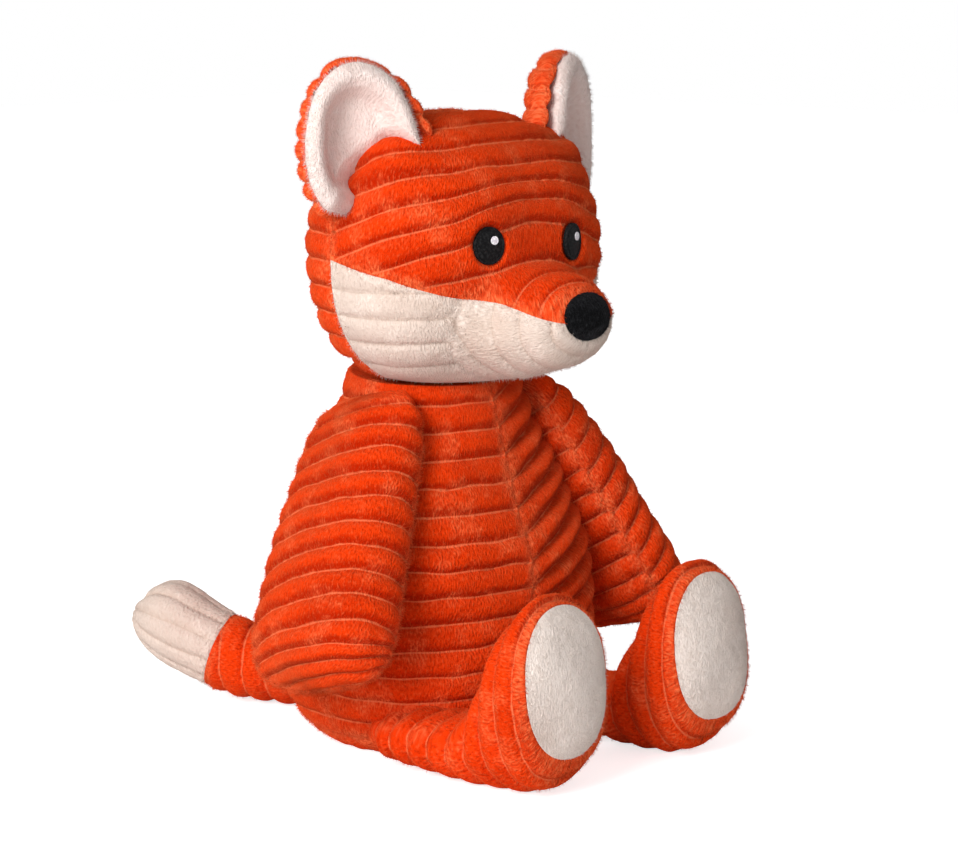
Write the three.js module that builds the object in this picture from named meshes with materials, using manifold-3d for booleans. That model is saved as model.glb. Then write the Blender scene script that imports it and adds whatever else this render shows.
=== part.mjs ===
// Seated plush fox, sewn from wide-ribbed plush over a soft filling.
// Millimetres, +Z up. The fox faces -Y and its left side is +X.
// The origin is on the floor, under the middle of the torso's flat seat.
import * as THREE from 'three';
import { mergeVertices } from 'three/addons/utils/BufferGeometryUtils.js';
import Module from 'manifold-3d';

const wasm = await Module();
wasm.setup();

// Driving sizes

// Cloth and sewing
const FABRIC = 3;
const SEAM_GAP = 0.3;
const RIB_PITCH = 10.5;
const RIB_DEPTH = 2.2;
const OVERRUN = 20;
const FLOOR_FLAT = 0.5;
const WELD = 0.0001;

// Torso
const TORSO_HEIGHT = 148.5;
const TORSO_HALF_WIDTH = 69;
const TORSO_HALF_DEPTH = 56;
const TORSO_FORWARD = 3;
const SEAT_SEAM_HEIGHT = 8;
const SEAT_BAG_HEIGHT = 34;
const CHEST_RIB_RISE_SHARE = 0.33;

// Head
const HEAD_HALF_WIDTH = 64.5;
const HEAD_HALF_DEPTH = 45;
const HEAD_HALF_HEIGHT = 55.6;
const HEAD_FORWARD = 15;
const NECK_FLAT_SHARE = 0.951;
const BROW_RIB_TILT = THREE.MathUtils.degToRad(20);
const MUZZLE_REACH = 74;
const MUZZLE_HALF_WIDTH = 36;
const MUZZLE_HALF_HEIGHT = 25;
const MUZZLE_DROP = 25.5;
const NOSE_HALF_WIDTH = 12.3;
const NOSE_HALF_HEIGHT = 10;
const NOSE_RISE = 3;
const NOSE_PROUD = 1.2;
const EYE_RADIUS = 7.4;
const EYE_SPACING = 50;
const EYE_RISE = 4.8;
const EYE_THICKNESS = 1.6;
const EYE_SINK = 2.6;
const GLINT_RADIUS = 1.7;
const GLINT_THICKNESS = 0.5;
const GLINT_OFFSET = new THREE.Vector3(2, 0, 2);
const EAR_WIDTH = 48;
const EAR_HEIGHT = 46;
const EAR_DEPTH = 16;

// Arms
const SHOULDER_DROP = 5.5;
const SHOULDER_FORWARD = 2.5;
const ARM_LENGTH = 124;
const ARM_HALF_WIDTH = 34;
const ARM_HALF_THICKNESS = 21;
const ARM_SPREAD_SHARE = 0.543;
const ARM_REACH_SHARE = 0.24;
const ARM_SEAM_TURN = THREE.MathUtils.degToRad(20);
const SHOULDER_ANGLES = [0, 45];

// Legs
const HIP_HEIGHT = 14;
const HIP_SPACING = 87;
const HIP_RADIUS = 12.5;
const HIP_HALF_LENGTH = 19;
const LEG_LENGTH = 70;
const FOOT_HALF_WIDTH = 28;
const FOOT_HALF_HEIGHT = 39;
const SOLE_TILT = THREE.MathUtils.degToRad(6);
const SOLE_BULGE = 4;
const HIP_ANGLES = [0, 15, 30];

// Tail
const TAIL_HEIGHT = 15.5;
const TAIL_LENGTH = 92;
const TAIL_HALF_WIDTH = 17.5;
const TAIL_ROOT_RADIUS = 13.5;
const TAIL_RISE = 28;
const TAIL_TURN = THREE.MathUtils.degToRad(27);
const TAIL_ANGLES = [-45, -40, -35, -30, -25, -20, -15, -10, -5, 0, 5, 10, 15];

// Shapes, as shares of the sizes above

// Torso: height, half width, half depth
const TORSO_SHARES = [
  [0, 0.63, 0.67], [0.035, 0.75, 0.79], [0.1, 0.87, 0.9], [0.24, 0.98, 0.985], [0.38, 1, 1],
  [0.55, 0.96, 0.97], [0.63, 0.92, 0.88], [0.7, 0.845, 0.82], [0.76, 0.77, 0.77],
  [0.82, 0.68, 0.72], [0.89, 0.6, 0.655], [0.95, 0.56, 0.6], [1, 0.52, 0.56],
];
// Muzzle: reach from the head's middle, half width, half height
const MUZZLE_SHARES = [
  [0.3, 1, 1], [0.573, 0.86, 0.96], [0.72, 0.75, 0.84], [0.853, 0.63, 0.72],
  [0.93, 0.5, 0.56], [0.975, 0.33, 0.37], [1, 0.02, 0.02],
];
// Arm: way down the arm, half width, half thickness
const ARM_SHARES = [
  [0, 0.58, 0.16], [0.05, 0.76, 0.42], [0.13, 0.85, 0.68], [0.32, 0.92, 0.88], [0.6, 0.97, 0.98],
  [0.8, 1, 1], [0.91, 0.9, 0.84], [0.97, 0.66, 0.55], [1, 0.3, 0.2],
];
// Leg: way along the leg, half width, half height, height of its middle over the floor
const LEG_SHARES = [
  [0, 0.8, 0.31, 0.33], [0.2, 0.81, 0.32, 0.33], [0.4, 0.84, 0.37, 0.37], [0.52, 0.88, 0.5, 0.5],
  [0.6, 0.92, 0.65, 0.655], [0.7, 0.96, 0.82, 0.825], [0.8, 0.99, 0.925, 0.955], [0.9, 1, 0.96, 1.07],
  [0.96, 0.97, 0.9, 1.14], [1, 0.87, 0.8, 1.18],
];
// Tail: way along the tail, half width and half height
const TAIL_SHARES = [
  [0, 0.78, 0.8], [0.17, 0.9, 0.9], [0.35, 0.98, 0.93], [0.55, 1, 0.94], [0.8, 1, 0.97],
  [0.92, 0.88, 0.9], [0.98, 0.62, 0.66], [1, 0.4, 0.42],
];
const TAIL_SEAM_SHARE = 0.62;
// Seam between brow and cheek, seen from the side: forward of the head's middle, above it
const CHEEK_SEAM_SHARES = [
  [-0.4, 0.02], [-0.08, -0.03], [0.48, -0.13], [0.72, -0.21], [0.88, -0.277],
  [1.12, -0.31], [1.3, -0.354], [1.9, -0.52],
];
const SIDE_SEAM_SHARE = -0.04;
// Seam between cheek and muzzle: forward of the head's middle, above it
const MUZZLE_SEAM_SHARES = [[0.88, -0.277], [0.62, -0.95]];
// Sole: size of the outline, share of the bulge
const SOLE_SHARES = [[0.8, 0.55], [0.45, 1]];
// Ear outline from the middle of its base: outward, upward
const EAR_SHARES = [
  [-0.42, 0.22], [-0.34, 0.55], [-0.19, 0.84], [0.02, 0.99], [0.22, 1.02], [0.4, 0.93],
  [0.54, 0.73], [0.6, 0.44], [0.6, 0.16], [0.54, -0.1], [0.4, -0.28], [0.15, -0.36],
  [-0.17, -0.32], [-0.34, -0.1],
];
const EAR_MIDDLE_SHARES = [0.13, 0.33];
// Where the ear sits on the head, as shares of the head's half sizes
const EAR_SEAT_SHARES = [0.86, -0.24, 0.536];
const EAR_FACING = new THREE.Vector3(0.41, -0.91, 0.06).normalize();
// Cup sections from the middle of the hollow over the rim to the middle of the back:
// size of the outline, depth behind the rim
const EAR_BACK_SHARES = [
  [0.3, 0.72], [0.62, 0.6], [0.83, 0.3], [0.91, 0.02], [1, 0], [1.04, 0.3], [0.9, 0.74],
  [0.5, 0.98],
];
const EAR_LINING_SHARES = [
  [0.28, 0.46], [0.55, 0.36], [0.66, 0.12], [0.72, -0.14], [0.82, -0.2], [0.91, -0.1],
  [0.885, 0.01], [0.79, 0.28], [0.58, 0.56], [0.28, 0.68],
];

// Squareness of the cross-sections and of the head's round side view
const TORSO_SQUARE = 2.4;
const HEAD_SQUARE = 2.6;
const HEAD_TOP_SQUARE = 2.2;
const HEAD_BASE_SQUARE = 2.5;
const LIMB_SQUARE = 2.2;
const ROOT_SQUARE = 3;
const ROUND = 2;

// Sides of the faceted rings
const BODY_SIDES = 20;
const LIMB_SIDES = 12;
const FILL_SIDES = 10;
const DISC_SIDES = 16;

// Places worked out from the sizes
const HEAD_CENTRE = new THREE.Vector3(
  0, -HEAD_FORWARD, TORSO_HEIGHT + SEAM_GAP + HEAD_HALF_HEIGHT * NECK_FLAT_SHARE);
const SHOULDER_HEIGHT = TORSO_HEIGHT - SHOULDER_DROP;
const HALF_GAP = SEAM_GAP / 2;
const UP = new THREE.Vector3(0, 0, 1);
const SIDES = { right: -1, left: 1 };

// Colours seen on the fox
const ORANGE = 0xd9481c;
const CREAM = 0xe9dccf;
const LINING = 0xeee2da;
const BLACK = 0x141414;
const WHITE = 0xf2f0f4;
const FILL_WHITE = 0xf4f4f0;
const BEADS = 0xd8d2c2;
const PILE_ROUGHNESS = 0.95;
const THREAD_ROUGHNESS = 0.65;

// Joining and cutting

function solidFrom(geometry) {
  const bare = new THREE.BufferGeometry();
  bare.setAttribute('position', geometry.getAttribute('position').clone());
  if (geometry.index) bare.setIndex(geometry.index.clone());
  const merged = mergeVertices(bare, WELD);
  const vertProperties = Float32Array.from(merged.getAttribute('position').array);
  const triVerts = Uint32Array.from(merged.index.array);
  return new wasm.Manifold(new wasm.Mesh({ numProp: 3, vertProperties, triVerts }));
}

function geometryFrom(solid) {
  const mesh = solid.getMesh();
  const geometry = new THREE.BufferGeometry();
  geometry.setAttribute('position', new THREE.BufferAttribute(mesh.vertProperties.slice(), 3));
  geometry.setIndex(new THREE.BufferAttribute(mesh.triVerts.slice(), 1));
  geometry.computeVertexNormals();
  return geometry;
}

// A closed solid through rings of equal point counts, each end closed to its middle.
function skin(rings) {
  const sides = rings[0].length;
  const points = rings.flat();
  const middleOf = (ring) =>
    ring.reduce((sum, p) => sum.add(p), new THREE.Vector3()).divideScalar(ring.length);
  const first = points.push(middleOf(rings[0])) - 1;
  const last = points.push(middleOf(rings.at(-1))) - 1;
  const faces = [];
  for (let ring = 0; ring + 1 < rings.length; ring += 1) {
    for (let side = 0; side < sides; side += 1) {
      const next = (side + 1) % sides;
      const a = ring * sides + side;
      const b = ring * sides + next;
      faces.push([a, b, b + sides], [a, b + sides, a + sides]);
    }
  }
  const top = (rings.length - 1) * sides;
  for (let side = 0; side < sides; side += 1) {
    const next = (side + 1) % sides;
    faces.push([first, next, side], [last, top + side, top + next]);
  }
  const volume = faces.reduce((sum, [a, b, c]) =>
    sum + points[a].dot(new THREE.Vector3().crossVectors(points[b], points[c])), 0);
  const outward = volume > 0 ? faces : faces.map(([a, b, c]) => [a, c, b]);
  const geometry = new THREE.BufferGeometry();
  geometry.setFromPoints(points);
  geometry.setIndex(outward.flat());
  return solidFrom(geometry);
}

function box(low, high) {
  const size = new THREE.Vector3().subVectors(high, low);
  const geometry = new THREE.BoxGeometry(size.x, size.y, size.z);
  geometry.translate((low.x + high.x) / 2, (low.y + high.y) / 2, (low.z + high.z) / 2);
  return solidFrom(geometry);
}

// A round bar whose middle is at centre and whose length runs along direction.
function bar(radius, length, centre, direction, stretch = 1) {
  const geometry = new THREE.CylinderGeometry(radius, radius, length, DISC_SIDES);
  geometry.scale(stretch, 1, 1);
  const turn = new THREE.Quaternion().setFromUnitVectors(new THREE.Vector3(0, 1, 0), direction);
  geometry.applyQuaternion(turn);
  geometry.translate(centre.x, centre.y, centre.z);
  return solidFrom(geometry);
}

// A slab right across the fox whose outline is drawn in side view, as points of (y, z).
function sideSlab(outline, fromX, toX) {
  const shape = new THREE.Shape(outline.map(([y, z]) => new THREE.Vector2(y, z)));
  const geometry = new THREE.ExtrudeGeometry(shape, { depth: toX - fromX, bevelEnabled: false });
  const axes = new THREE.Matrix4().makeBasis(
    new THREE.Vector3(0, 1, 0), UP, new THREE.Vector3(1, 0, 0));
  geometry.applyMatrix4(axes);
  geometry.translate(fromX, 0, 0);
  return solidFrom(geometry);
}

// Reading a table of shares at any place between its rows, along a smooth curve.
function follow(rows, place, column) {
  const inside = THREE.MathUtils.clamp(place, rows[0][0], rows.at(-1)[0]);
  let row = 0;
  while (row + 2 < rows.length && rows[row + 1][0] < inside) row += 1;
  const slope = (i) => {
    const before = rows[Math.max(i - 1, 0)];
    const after = rows[Math.min(i + 1, rows.length - 1)];
    return (after[column] - before[column]) / (after[0] - before[0]);
  };
  const step = rows[row + 1][0] - rows[row][0];
  const t = (inside - rows[row][0]) / step;
  const from = rows[row][column];
  const to = rows[row + 1][column];
  return (2 * t ** 3 - 3 * t ** 2 + 1) * from + (t ** 3 - 2 * t ** 2 + t) * step * slope(row)
    + (3 * t ** 2 - 2 * t ** 3) * to + (t ** 3 - t ** 2) * step * slope(row + 1);
}

// Forms: each says how far out a point lies, 1 on the surface; grow moves the surface out.

function torsoForm(grow) {
  return (p) => {
    const share = p.z / TORSO_HEIGHT;
    const halfWidth = TORSO_HALF_WIDTH * follow(TORSO_SHARES, share, 1) + grow;
    const halfDepth = TORSO_HALF_DEPTH * follow(TORSO_SHARES, share, 2) + grow;
    return ((Math.abs(p.x) / halfWidth) ** TORSO_SQUARE
      + (Math.abs(p.y + TORSO_FORWARD) / halfDepth) ** TORSO_SQUARE) ** (1 / TORSO_SQUARE);
  };
}

function headForm(grow) {
  return (p) => {
    const q = p.clone().sub(HEAD_CENTRE);
    const across = (Math.abs(q.x) / (HEAD_HALF_WIDTH + grow)) ** HEAD_SQUARE
      + (Math.abs(q.y) / (HEAD_HALF_DEPTH + grow)) ** HEAD_SQUARE;
    const square = q.z > 0 ? HEAD_TOP_SQUARE : HEAD_BASE_SQUARE;
    const upward = (Math.abs(q.z) / (HEAD_HALF_HEIGHT + grow)) ** square;
    return (across ** (square / HEAD_SQUARE) + upward) ** (1 / square);
  };
}

// Distance from a point inside a form to its surface.
function reach(form, from, direction, most) {
  let near = 0;
  let far = most;
  const halvings = 26;
  for (let i = 0; i < halvings; i += 1) {
    const middle = (near + far) / 2;
    if (form(from.clone().addScaledVector(direction, middle)) < 1) near = middle;
    else far = middle;
  }
  return near;
}

// Rings cut through a form by parallel planes. Every other ring is a groove between ribs.
// A plain form keeps only the rings on its ribs' crests.
function slices(form, { centreAt, normal, from, to, ribbed, sides }) {
  const widest = TORSO_HALF_WIDTH + HEAD_HALF_WIDTH;
  const count = Math.round((to - from) / RIB_PITCH) * 2;
  const rings = [];
  for (let i = 0; i <= count; i += 1) {
    const grooved = i % 2 === 0;
    if (grooved && !ribbed && i > 0 && i < count) continue;
    const centre = centreAt(from + (to - from) * i / count);
    const ring = [];
    for (let side = 0; side < sides; side += 1) {
      const angle = 2 * Math.PI * side / sides;
      const ray = new THREE.Vector3(Math.cos(angle), Math.sin(angle), 0);
      ray.z = -(normal.x * ray.x + normal.y * ray.y) / normal.z;
      ray.normalize();
      const out = reach(form, centre, ray, widest);
      const depth = grooved && ribbed ? Math.min(RIB_DEPTH, out / 2) : 0;
      ring.push(centre.clone().addScaledVector(ray, out - depth));
    }
    rings.push(ring);
  }
  return rings;
}

function torsoSolid({ grow = 0, ribbed = false, rise = 0, sides = BODY_SIDES }) {
  const normal = new THREE.Vector3(-rise, 0, 1).normalize();
  const spare = RIB_PITCH * 2;
  return skin(slices(torsoForm(grow), {
    centreAt: (z) => new THREE.Vector3(0, -TORSO_FORWARD, z),
    normal, from: -spare, to: TORSO_HEIGHT + spare, ribbed, sides,
  }));
}

function headSolid({ grow = 0, ribbed = false, tilt = 0, sides = BODY_SIDES }) {
  const form = headForm(grow);
  const normal = new THREE.Vector3(0, Math.sin(tilt), Math.cos(tilt));
  const most = HEAD_HALF_DEPTH + HEAD_HALF_HEIGHT;
  const top = reach(form, HEAD_CENTRE, normal, most);
  const base = reach(form, HEAD_CENTRE, normal.clone().negate(), most);
  const inset = RIB_PITCH / 6;
  return skin(slices(form, {
    centreAt: (s) => HEAD_CENTRE.clone().addScaledVector(normal, s),
    normal, from: inset - base, to: top - inset, ribbed, sides,
  }));
}

// One ring of a limb: a rounded outline set across the limb's run.
function limbRing(centre, across, up, halfAcross, halfUp, square, sides) {
  const ring = [];
  for (let side = 0; side < sides; side += 1) {
    const angle = 2 * Math.PI * side / sides;
    const c = Math.cos(angle);
    const s = Math.sin(angle);
    const out = (Math.abs(c) ** square + Math.abs(s) ** square) ** (-1 / square);
    ring.push(centre.clone()
      .addScaledVector(across, halfAcross * out * c)
      .addScaledVector(up, halfUp * out * s));
  }
  return ring;
}

// Ring places along a limb, a rib and a groove in turn, from and to in shares of its length.
function ribShares(length, from, to, ribbed) {
  const count = Math.round(length * (to - from) / RIB_PITCH) * 2;
  const places = Array.from({ length: count + 1 }, (_, i) => ({
    share: from + (to - from) * i / count,
    groove: i % 2 === 0 && i > 0 && i < count,
  }));
  return places.filter(({ groove }) => ribbed || !groove)
    .map(({ share, groove }) => ({ share, depth: groove ? RIB_DEPTH : 0 }));
}

// Muzzle

function muzzleSolid({ grow = 0, ribbed = false, sides = BODY_SIDES }) {
  const from = MUZZLE_SHARES[0][0];
  const far = 1 + grow / MUZZLE_REACH;
  const rings = ribShares(MUZZLE_REACH, from, 1, ribbed).map(({ share, depth }) => {
    const centre = new THREE.Vector3(
      0, HEAD_CENTRE.y - MUZZLE_REACH * Math.min(share * far, far), HEAD_CENTRE.z - MUZZLE_DROP);
    const least = NOSE_PROUD;
    const halfWidth = MUZZLE_HALF_WIDTH * follow(MUZZLE_SHARES, share, 1) + grow - depth;
    const halfHeight = MUZZLE_HALF_HEIGHT * follow(MUZZLE_SHARES, share, 2) + grow - depth;
    return limbRing(centre, new THREE.Vector3(1, 0, 0), UP,
      Math.max(halfWidth, least), Math.max(halfHeight, least), ROUND, sides);
  });
  return skin(rings);
}

// Head regions, drawn in side view

const headY = (forwardShare) => HEAD_CENTRE.y - HEAD_HALF_DEPTH * forwardShare;
const headZ = (upShare) => HEAD_CENTRE.z + HEAD_HALF_HEIGHT * upShare;
const HEAD_BOX = HEAD_HALF_WIDTH + OVERRUN;
const HEAD_HIGH = HEAD_CENTRE.z + HEAD_HALF_HEIGHT + OVERRUN;
const HEAD_BASE = TORSO_HEIGHT + SEAM_GAP;
const FACE_FRONT = Math.min(
  HEAD_CENTRE.y - MUZZLE_REACH, headY(CHEEK_SEAM_SHARES.at(-1)[0])) - OVERRUN;
const SIDE_SEAM = headY(SIDE_SEAM_SHARE);

function cheekSeam(shift) {
  const points = CHEEK_SEAM_SHARES.map(([y, z]) => [headY(y), headZ(z) + shift]);
  return [...points, [FACE_FRONT, headZ(CHEEK_SEAM_SHARES.at(-1)[1]) + shift]];
}

function aboveCheekSeam() {
  const seam = cheekSeam(HALF_GAP);
  return sideSlab([...seam, [FACE_FRONT, HEAD_HIGH], [seam[0][0], HEAD_HIGH]],
    -HEAD_BOX, HEAD_BOX);
}

function belowCheekSeam(side) {
  const seam = cheekSeam(-HALF_GAP);
  const outline = [...seam, [FACE_FRONT, HEAD_BASE], [seam[0][0], HEAD_BASE]];
  return side < 0 ? sideSlab(outline, -HEAD_BOX, -HALF_GAP) : sideSlab(outline, HALF_GAP, HEAD_BOX);
}

function behindMuzzleSeam(shift) {
  const [[topY, topZ], [lowY, lowZ]] = MUZZLE_SEAM_SHARES;
  const top = [headY(topY) + shift, headZ(topZ)];
  const low = [headY(lowY) + shift, headZ(lowZ)];
  const lean = (top[0] - low[0]) / (top[1] - low[1]);
  const atHeight = (z) => top[0] + (z - top[1]) * lean;
  const high = headZ(CHEEK_SEAM_SHARES[0][1]) + OVERRUN;
  const under = HEAD_BASE - OVERRUN;
  const back = HEAD_HALF_DEPTH + OVERRUN;
  return sideSlab([[atHeight(high), high], [atHeight(under), under], [back, under], [back, high]],
    -HEAD_BOX, HEAD_BOX);
}

const behindSideSeam = (shift) => box(
  new THREE.Vector3(-HEAD_BOX, SIDE_SEAM + shift, HEAD_BASE),
  new THREE.Vector3(HEAD_BOX, HEAD_HALF_DEPTH + OVERRUN, HEAD_HIGH));

const overNeck = (low) => box(
  new THREE.Vector3(-HEAD_BOX, FACE_FRONT, low),
  new THREE.Vector3(HEAD_BOX, HEAD_HALF_DEPTH + OVERRUN, HEAD_HIGH));

// Nose: a patch sewn edge to edge into the tip of the muzzle.
const NOSE_CENTRE = new THREE.Vector3(
  0, HEAD_CENTRE.y - MUZZLE_REACH, HEAD_CENTRE.z - MUZZLE_DROP + NOSE_RISE);

function nosePlug(grow) {
  const length = MUZZLE_REACH / 2;
  const forward = new THREE.Vector3(0, -1, 0);
  return bar(NOSE_HALF_HEIGHT + grow, length, NOSE_CENTRE, forward,
    (NOSE_HALF_WIDTH + grow) / (NOSE_HALF_HEIGHT + grow));
}

// Eyes: embroidered discs pressed into the pile, each with a small stitched glint.
function eyePlace(side) {
  const x = side * EYE_SPACING / 2;
  const z = HEAD_CENTRE.z + EYE_RISE;
  const inside = new THREE.Vector3(x, HEAD_CENTRE.y, z);
  const out = reach(headForm(0), inside, new THREE.Vector3(0, -1, 0), HEAD_HALF_DEPTH * 2);
  const surface = new THREE.Vector3(x, HEAD_CENTRE.y - out, z);
  const form = headForm(0);
  const nudge = RIB_DEPTH;
  const slope = (axis) => form(surface.clone().addScaledVector(axis, nudge))
    - form(surface.clone().addScaledVector(axis, -nudge));
  const normal = new THREE.Vector3(
    slope(new THREE.Vector3(1, 0, 0)), slope(new THREE.Vector3(0, 1, 0)), slope(UP)).normalize();
  return { surface, normal };
}

function eyeDisc(side, radius, bottom, top, offset = new THREE.Vector3()) {
  const { surface, normal } = eyePlace(side);
  const middle = surface.clone().add(offset).addScaledVector(normal, (bottom + top) / 2);
  return bar(radius, top - bottom, middle, normal);
}

// Ears

function earSolid(side, sections) {
  const seat = new THREE.Vector3(
    side * HEAD_HALF_WIDTH * EAR_SEAT_SHARES[0],
    HEAD_CENTRE.y + HEAD_HALF_DEPTH * EAR_SEAT_SHARES[1],
    HEAD_CENTRE.z + HEAD_HALF_HEIGHT * EAR_SEAT_SHARES[2]);
  const facing = new THREE.Vector3(side * EAR_FACING.x, EAR_FACING.y, EAR_FACING.z);
  const outward = new THREE.Vector3().crossVectors(UP, facing).multiplyScalar(side).normalize();
  const upward = new THREE.Vector3().crossVectors(facing, outward).multiplyScalar(side);
  const place = (outShare, upShare, depth) => seat.clone()
    .addScaledVector(outward, EAR_WIDTH * outShare)
    .addScaledVector(upward, EAR_HEIGHT * upShare)
    .addScaledVector(facing, -depth);
  const [middleOut, middleUp] = EAR_MIDDLE_SHARES;
  return skin(sections.map(([size, depthShare]) => EAR_SHARES.map(([out, up]) => place(
    middleOut + (out - middleOut) * size,
    middleUp + (up - middleUp) * size,
    EAR_DEPTH * depthShare))));
}

// Arms

function armFrame(side) {
  const down = new THREE.Vector3(side * ARM_SPREAD_SHARE, -ARM_REACH_SHARE, -1).normalize();
  const outward = new THREE.Vector3(side, 0, 0).addScaledVector(down, -side * down.x).normalize();
  const ahead = new THREE.Vector3().crossVectors(down, outward).multiplyScalar(side).normalize();
  const share = SHOULDER_HEIGHT / TORSO_HEIGHT;
  const edge = TORSO_HALF_WIDTH * follow(TORSO_SHARES, share, 1);
  const top = new THREE.Vector3(side * edge, -TORSO_FORWARD - SHOULDER_FORWARD, SHOULDER_HEIGHT);
  return { down, outward, ahead, top };
}

// The shoulder's sewn line, which the arm swings about.
const shoulder = (side) => armFrame(side).top;

function armSolid(side, { grow = 0, ribbed = false, sides = LIMB_SIDES }) {
  const { down, outward, ahead, top } = armFrame(side);
  const rings = ribShares(ARM_LENGTH, 0, 1, ribbed).map(({ share, depth }) => {
    const shift = Math.min(Math.max(share, -grow / ARM_LENGTH), 1 + grow / ARM_LENGTH);
    const centre = top.clone().addScaledVector(down, ARM_LENGTH * shift);
    const least = FABRIC / 2;
    const halfWidth = ARM_HALF_WIDTH * follow(ARM_SHARES, share, 1) + grow - depth;
    const halfThick = ARM_HALF_THICKNESS * follow(ARM_SHARES, share, 2) + grow - depth;
    return limbRing(centre, ahead, outward,
      Math.max(halfWidth, least), Math.max(halfThick, least), LIMB_SQUARE, sides);
  });
  return skin(rings);
}

// Legs

const HIP_Y = -TORSO_FORWARD
  - TORSO_HALF_DEPTH * follow(TORSO_SHARES, HIP_HEIGHT / TORSO_HEIGHT, 2)
  * (1 - (HIP_SPACING / 2 / TORSO_HALF_WIDTH) ** TORSO_SQUARE) ** (1 / TORSO_SQUARE);

function legRing(side, share, grow, depth, sides = LIMB_SIDES) {
  const tilt = SOLE_TILT * THREE.MathUtils.smoothstep(share, LEG_SHARES[3][0], 1);
  const up = new THREE.Vector3(0, Math.sin(tilt), Math.cos(tilt));
  const height = FOOT_HALF_HEIGHT * follow(LEG_SHARES, share, 3) - FLOOR_FLAT;
  const centre = new THREE.Vector3(side * HIP_SPACING / 2, HIP_Y - LEG_LENGTH * share, height);
  const halfWidth = FOOT_HALF_WIDTH * follow(LEG_SHARES, share, 1) + grow - depth;
  const halfHeight = FOOT_HALF_HEIGHT * follow(LEG_SHARES, share, 2) + grow - depth;
  return limbRing(centre, new THREE.Vector3(1, 0, 0), up,
    halfWidth, halfHeight, LIMB_SQUARE, sides);
}

const hipCentre = (side) => new THREE.Vector3(side * HIP_SPACING / 2, HIP_Y, HIP_HEIGHT);

// The leg's rounded root, turned about the hip's own axis.
function hipRoot(side, grow) {
  const steps = 6;
  const profile = Array.from({ length: steps + 1 }, (_, i) => {
    const angle = Math.PI * (i / steps - 0.5);
    const along = Math.sin(angle);
    const out = (1 - Math.abs(along) ** ROOT_SQUARE) ** (1 / ROOT_SQUARE);
    return new THREE.Vector2((HIP_RADIUS + grow) * out, (HIP_HALF_LENGTH + grow) * along);
  });
  const geometry = new THREE.LatheGeometry(profile, LIMB_SIDES);
  geometry.rotateZ(Math.PI / 2);
  const centre = hipCentre(side);
  geometry.translate(centre.x, centre.y, centre.z);
  return solidFrom(geometry);
}

// The torso's hollow for a hip: round over the hip and open down to the floor.
function hipHollow(side, grow) {
  const half = new THREE.Vector3(HIP_HALF_LENGTH + grow, HIP_RADIUS + grow, 0);
  const low = hipCentre(side).sub(half).setZ(-OVERRUN);
  const high = hipCentre(side).add(half);
  const round = bar(HIP_RADIUS + grow, 2 * (HIP_HALF_LENGTH + grow), hipCentre(side),
    new THREE.Vector3(1, 0, 0));
  return round.add(box(low, high));
}

function legSolid(side, { grow = 0, ribbed = false, sides = LIMB_SIDES }) {
  const rings = ribShares(LEG_LENGTH, 0, 1, ribbed)
    .map(({ share, depth }) => legRing(side, share, grow, depth, sides));
  return skin(rings).add(hipRoot(side, grow));
}

// Tail

const TAIL_Y = -TORSO_FORWARD
  + TORSO_HALF_DEPTH * follow(TORSO_SHARES, TAIL_HEIGHT / TORSO_HEIGHT, 2);

// The tail leaves the torso turned to the fox's right, and curves up towards its tip.
function tailSolid(from, to, { grow = 0, ribbed = false, sides = LIMB_SIDES }) {
  const turned = (x, y, z) => new THREE.Vector3(x, y, z).applyAxisAngle(UP, TAIL_TURN);
  const rings = ribShares(TAIL_LENGTH, from, to, ribbed).map(({ share, depth }) => {
    const tilt = Math.atan(3 * TAIL_RISE * share ** 2 / TAIL_LENGTH);
    const centre = turned(0, TAIL_LENGTH * share, TAIL_HEIGHT + TAIL_RISE * share ** 3)
      .add(new THREE.Vector3(0, TAIL_Y, 0));
    const up = turned(0, -Math.sin(tilt), Math.cos(tilt));
    const halfWidth = TAIL_HALF_WIDTH * follow(TAIL_SHARES, share, 1) + grow - depth;
    const halfHeight = TAIL_HALF_WIDTH * follow(TAIL_SHARES, share, 2) + grow - depth;
    return limbRing(centre, turned(1, 0, 0), up, halfWidth, halfHeight, ROUND, sides);
  });
  return skin(rings);
}

function tailRoot(grow) {
  const centre = new THREE.Vector3(0, TAIL_Y, TAIL_HEIGHT);
  return bar(TAIL_ROOT_RADIUS + grow, 2 * (TAIL_ROOT_RADIUS + grow), centre, UP);
}

function tailHollow(grow) {
  const low = new THREE.Vector3(-TAIL_ROOT_RADIUS - grow, TAIL_Y, -OVERRUN);
  const high = new THREE.Vector3(TAIL_ROOT_RADIUS + grow, TAIL_Y + OVERRUN,
    TAIL_HEIGHT + TAIL_ROOT_RADIUS + grow);
  const under = bar(TAIL_ROOT_RADIUS + grow, 2 * TAIL_HEIGHT,
    new THREE.Vector3(0, TAIL_Y, 0), UP);
  return tailRoot(grow).add(under).add(box(low, high));
}

// Assembly

const fox = new THREE.Group();

function part(name, solid, colour, roughness = PILE_ROUGHNESS) {
  const material = new THREE.MeshStandardMaterial({ color: colour, roughness, metalness: 0 });
  const mesh = new THREE.Mesh(geometryFrom(solid), material);
  mesh.name = name;
  fox.add(mesh);
}

const FAR = TORSO_HALF_WIDTH + TORSO_HALF_DEPTH + LEG_LENGTH + TAIL_LENGTH;
const onFloor = box(new THREE.Vector3(-FAR, -FAR, 0),
  new THREE.Vector3(FAR, FAR, TORSO_HEIGHT + HEAD_BOX * 2));
const aboveFloorBy = (height) => box(new THREE.Vector3(-FAR, -FAR, height),
  new THREE.Vector3(FAR, FAR, TORSO_HEIGHT + HEAD_BOX * 2));

const WALL = FABRIC + RIB_DEPTH;
const slab = (low, high) => box(new THREE.Vector3(-FAR, -FAR, low),
  new THREE.Vector3(FAR, FAR, high));

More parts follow.
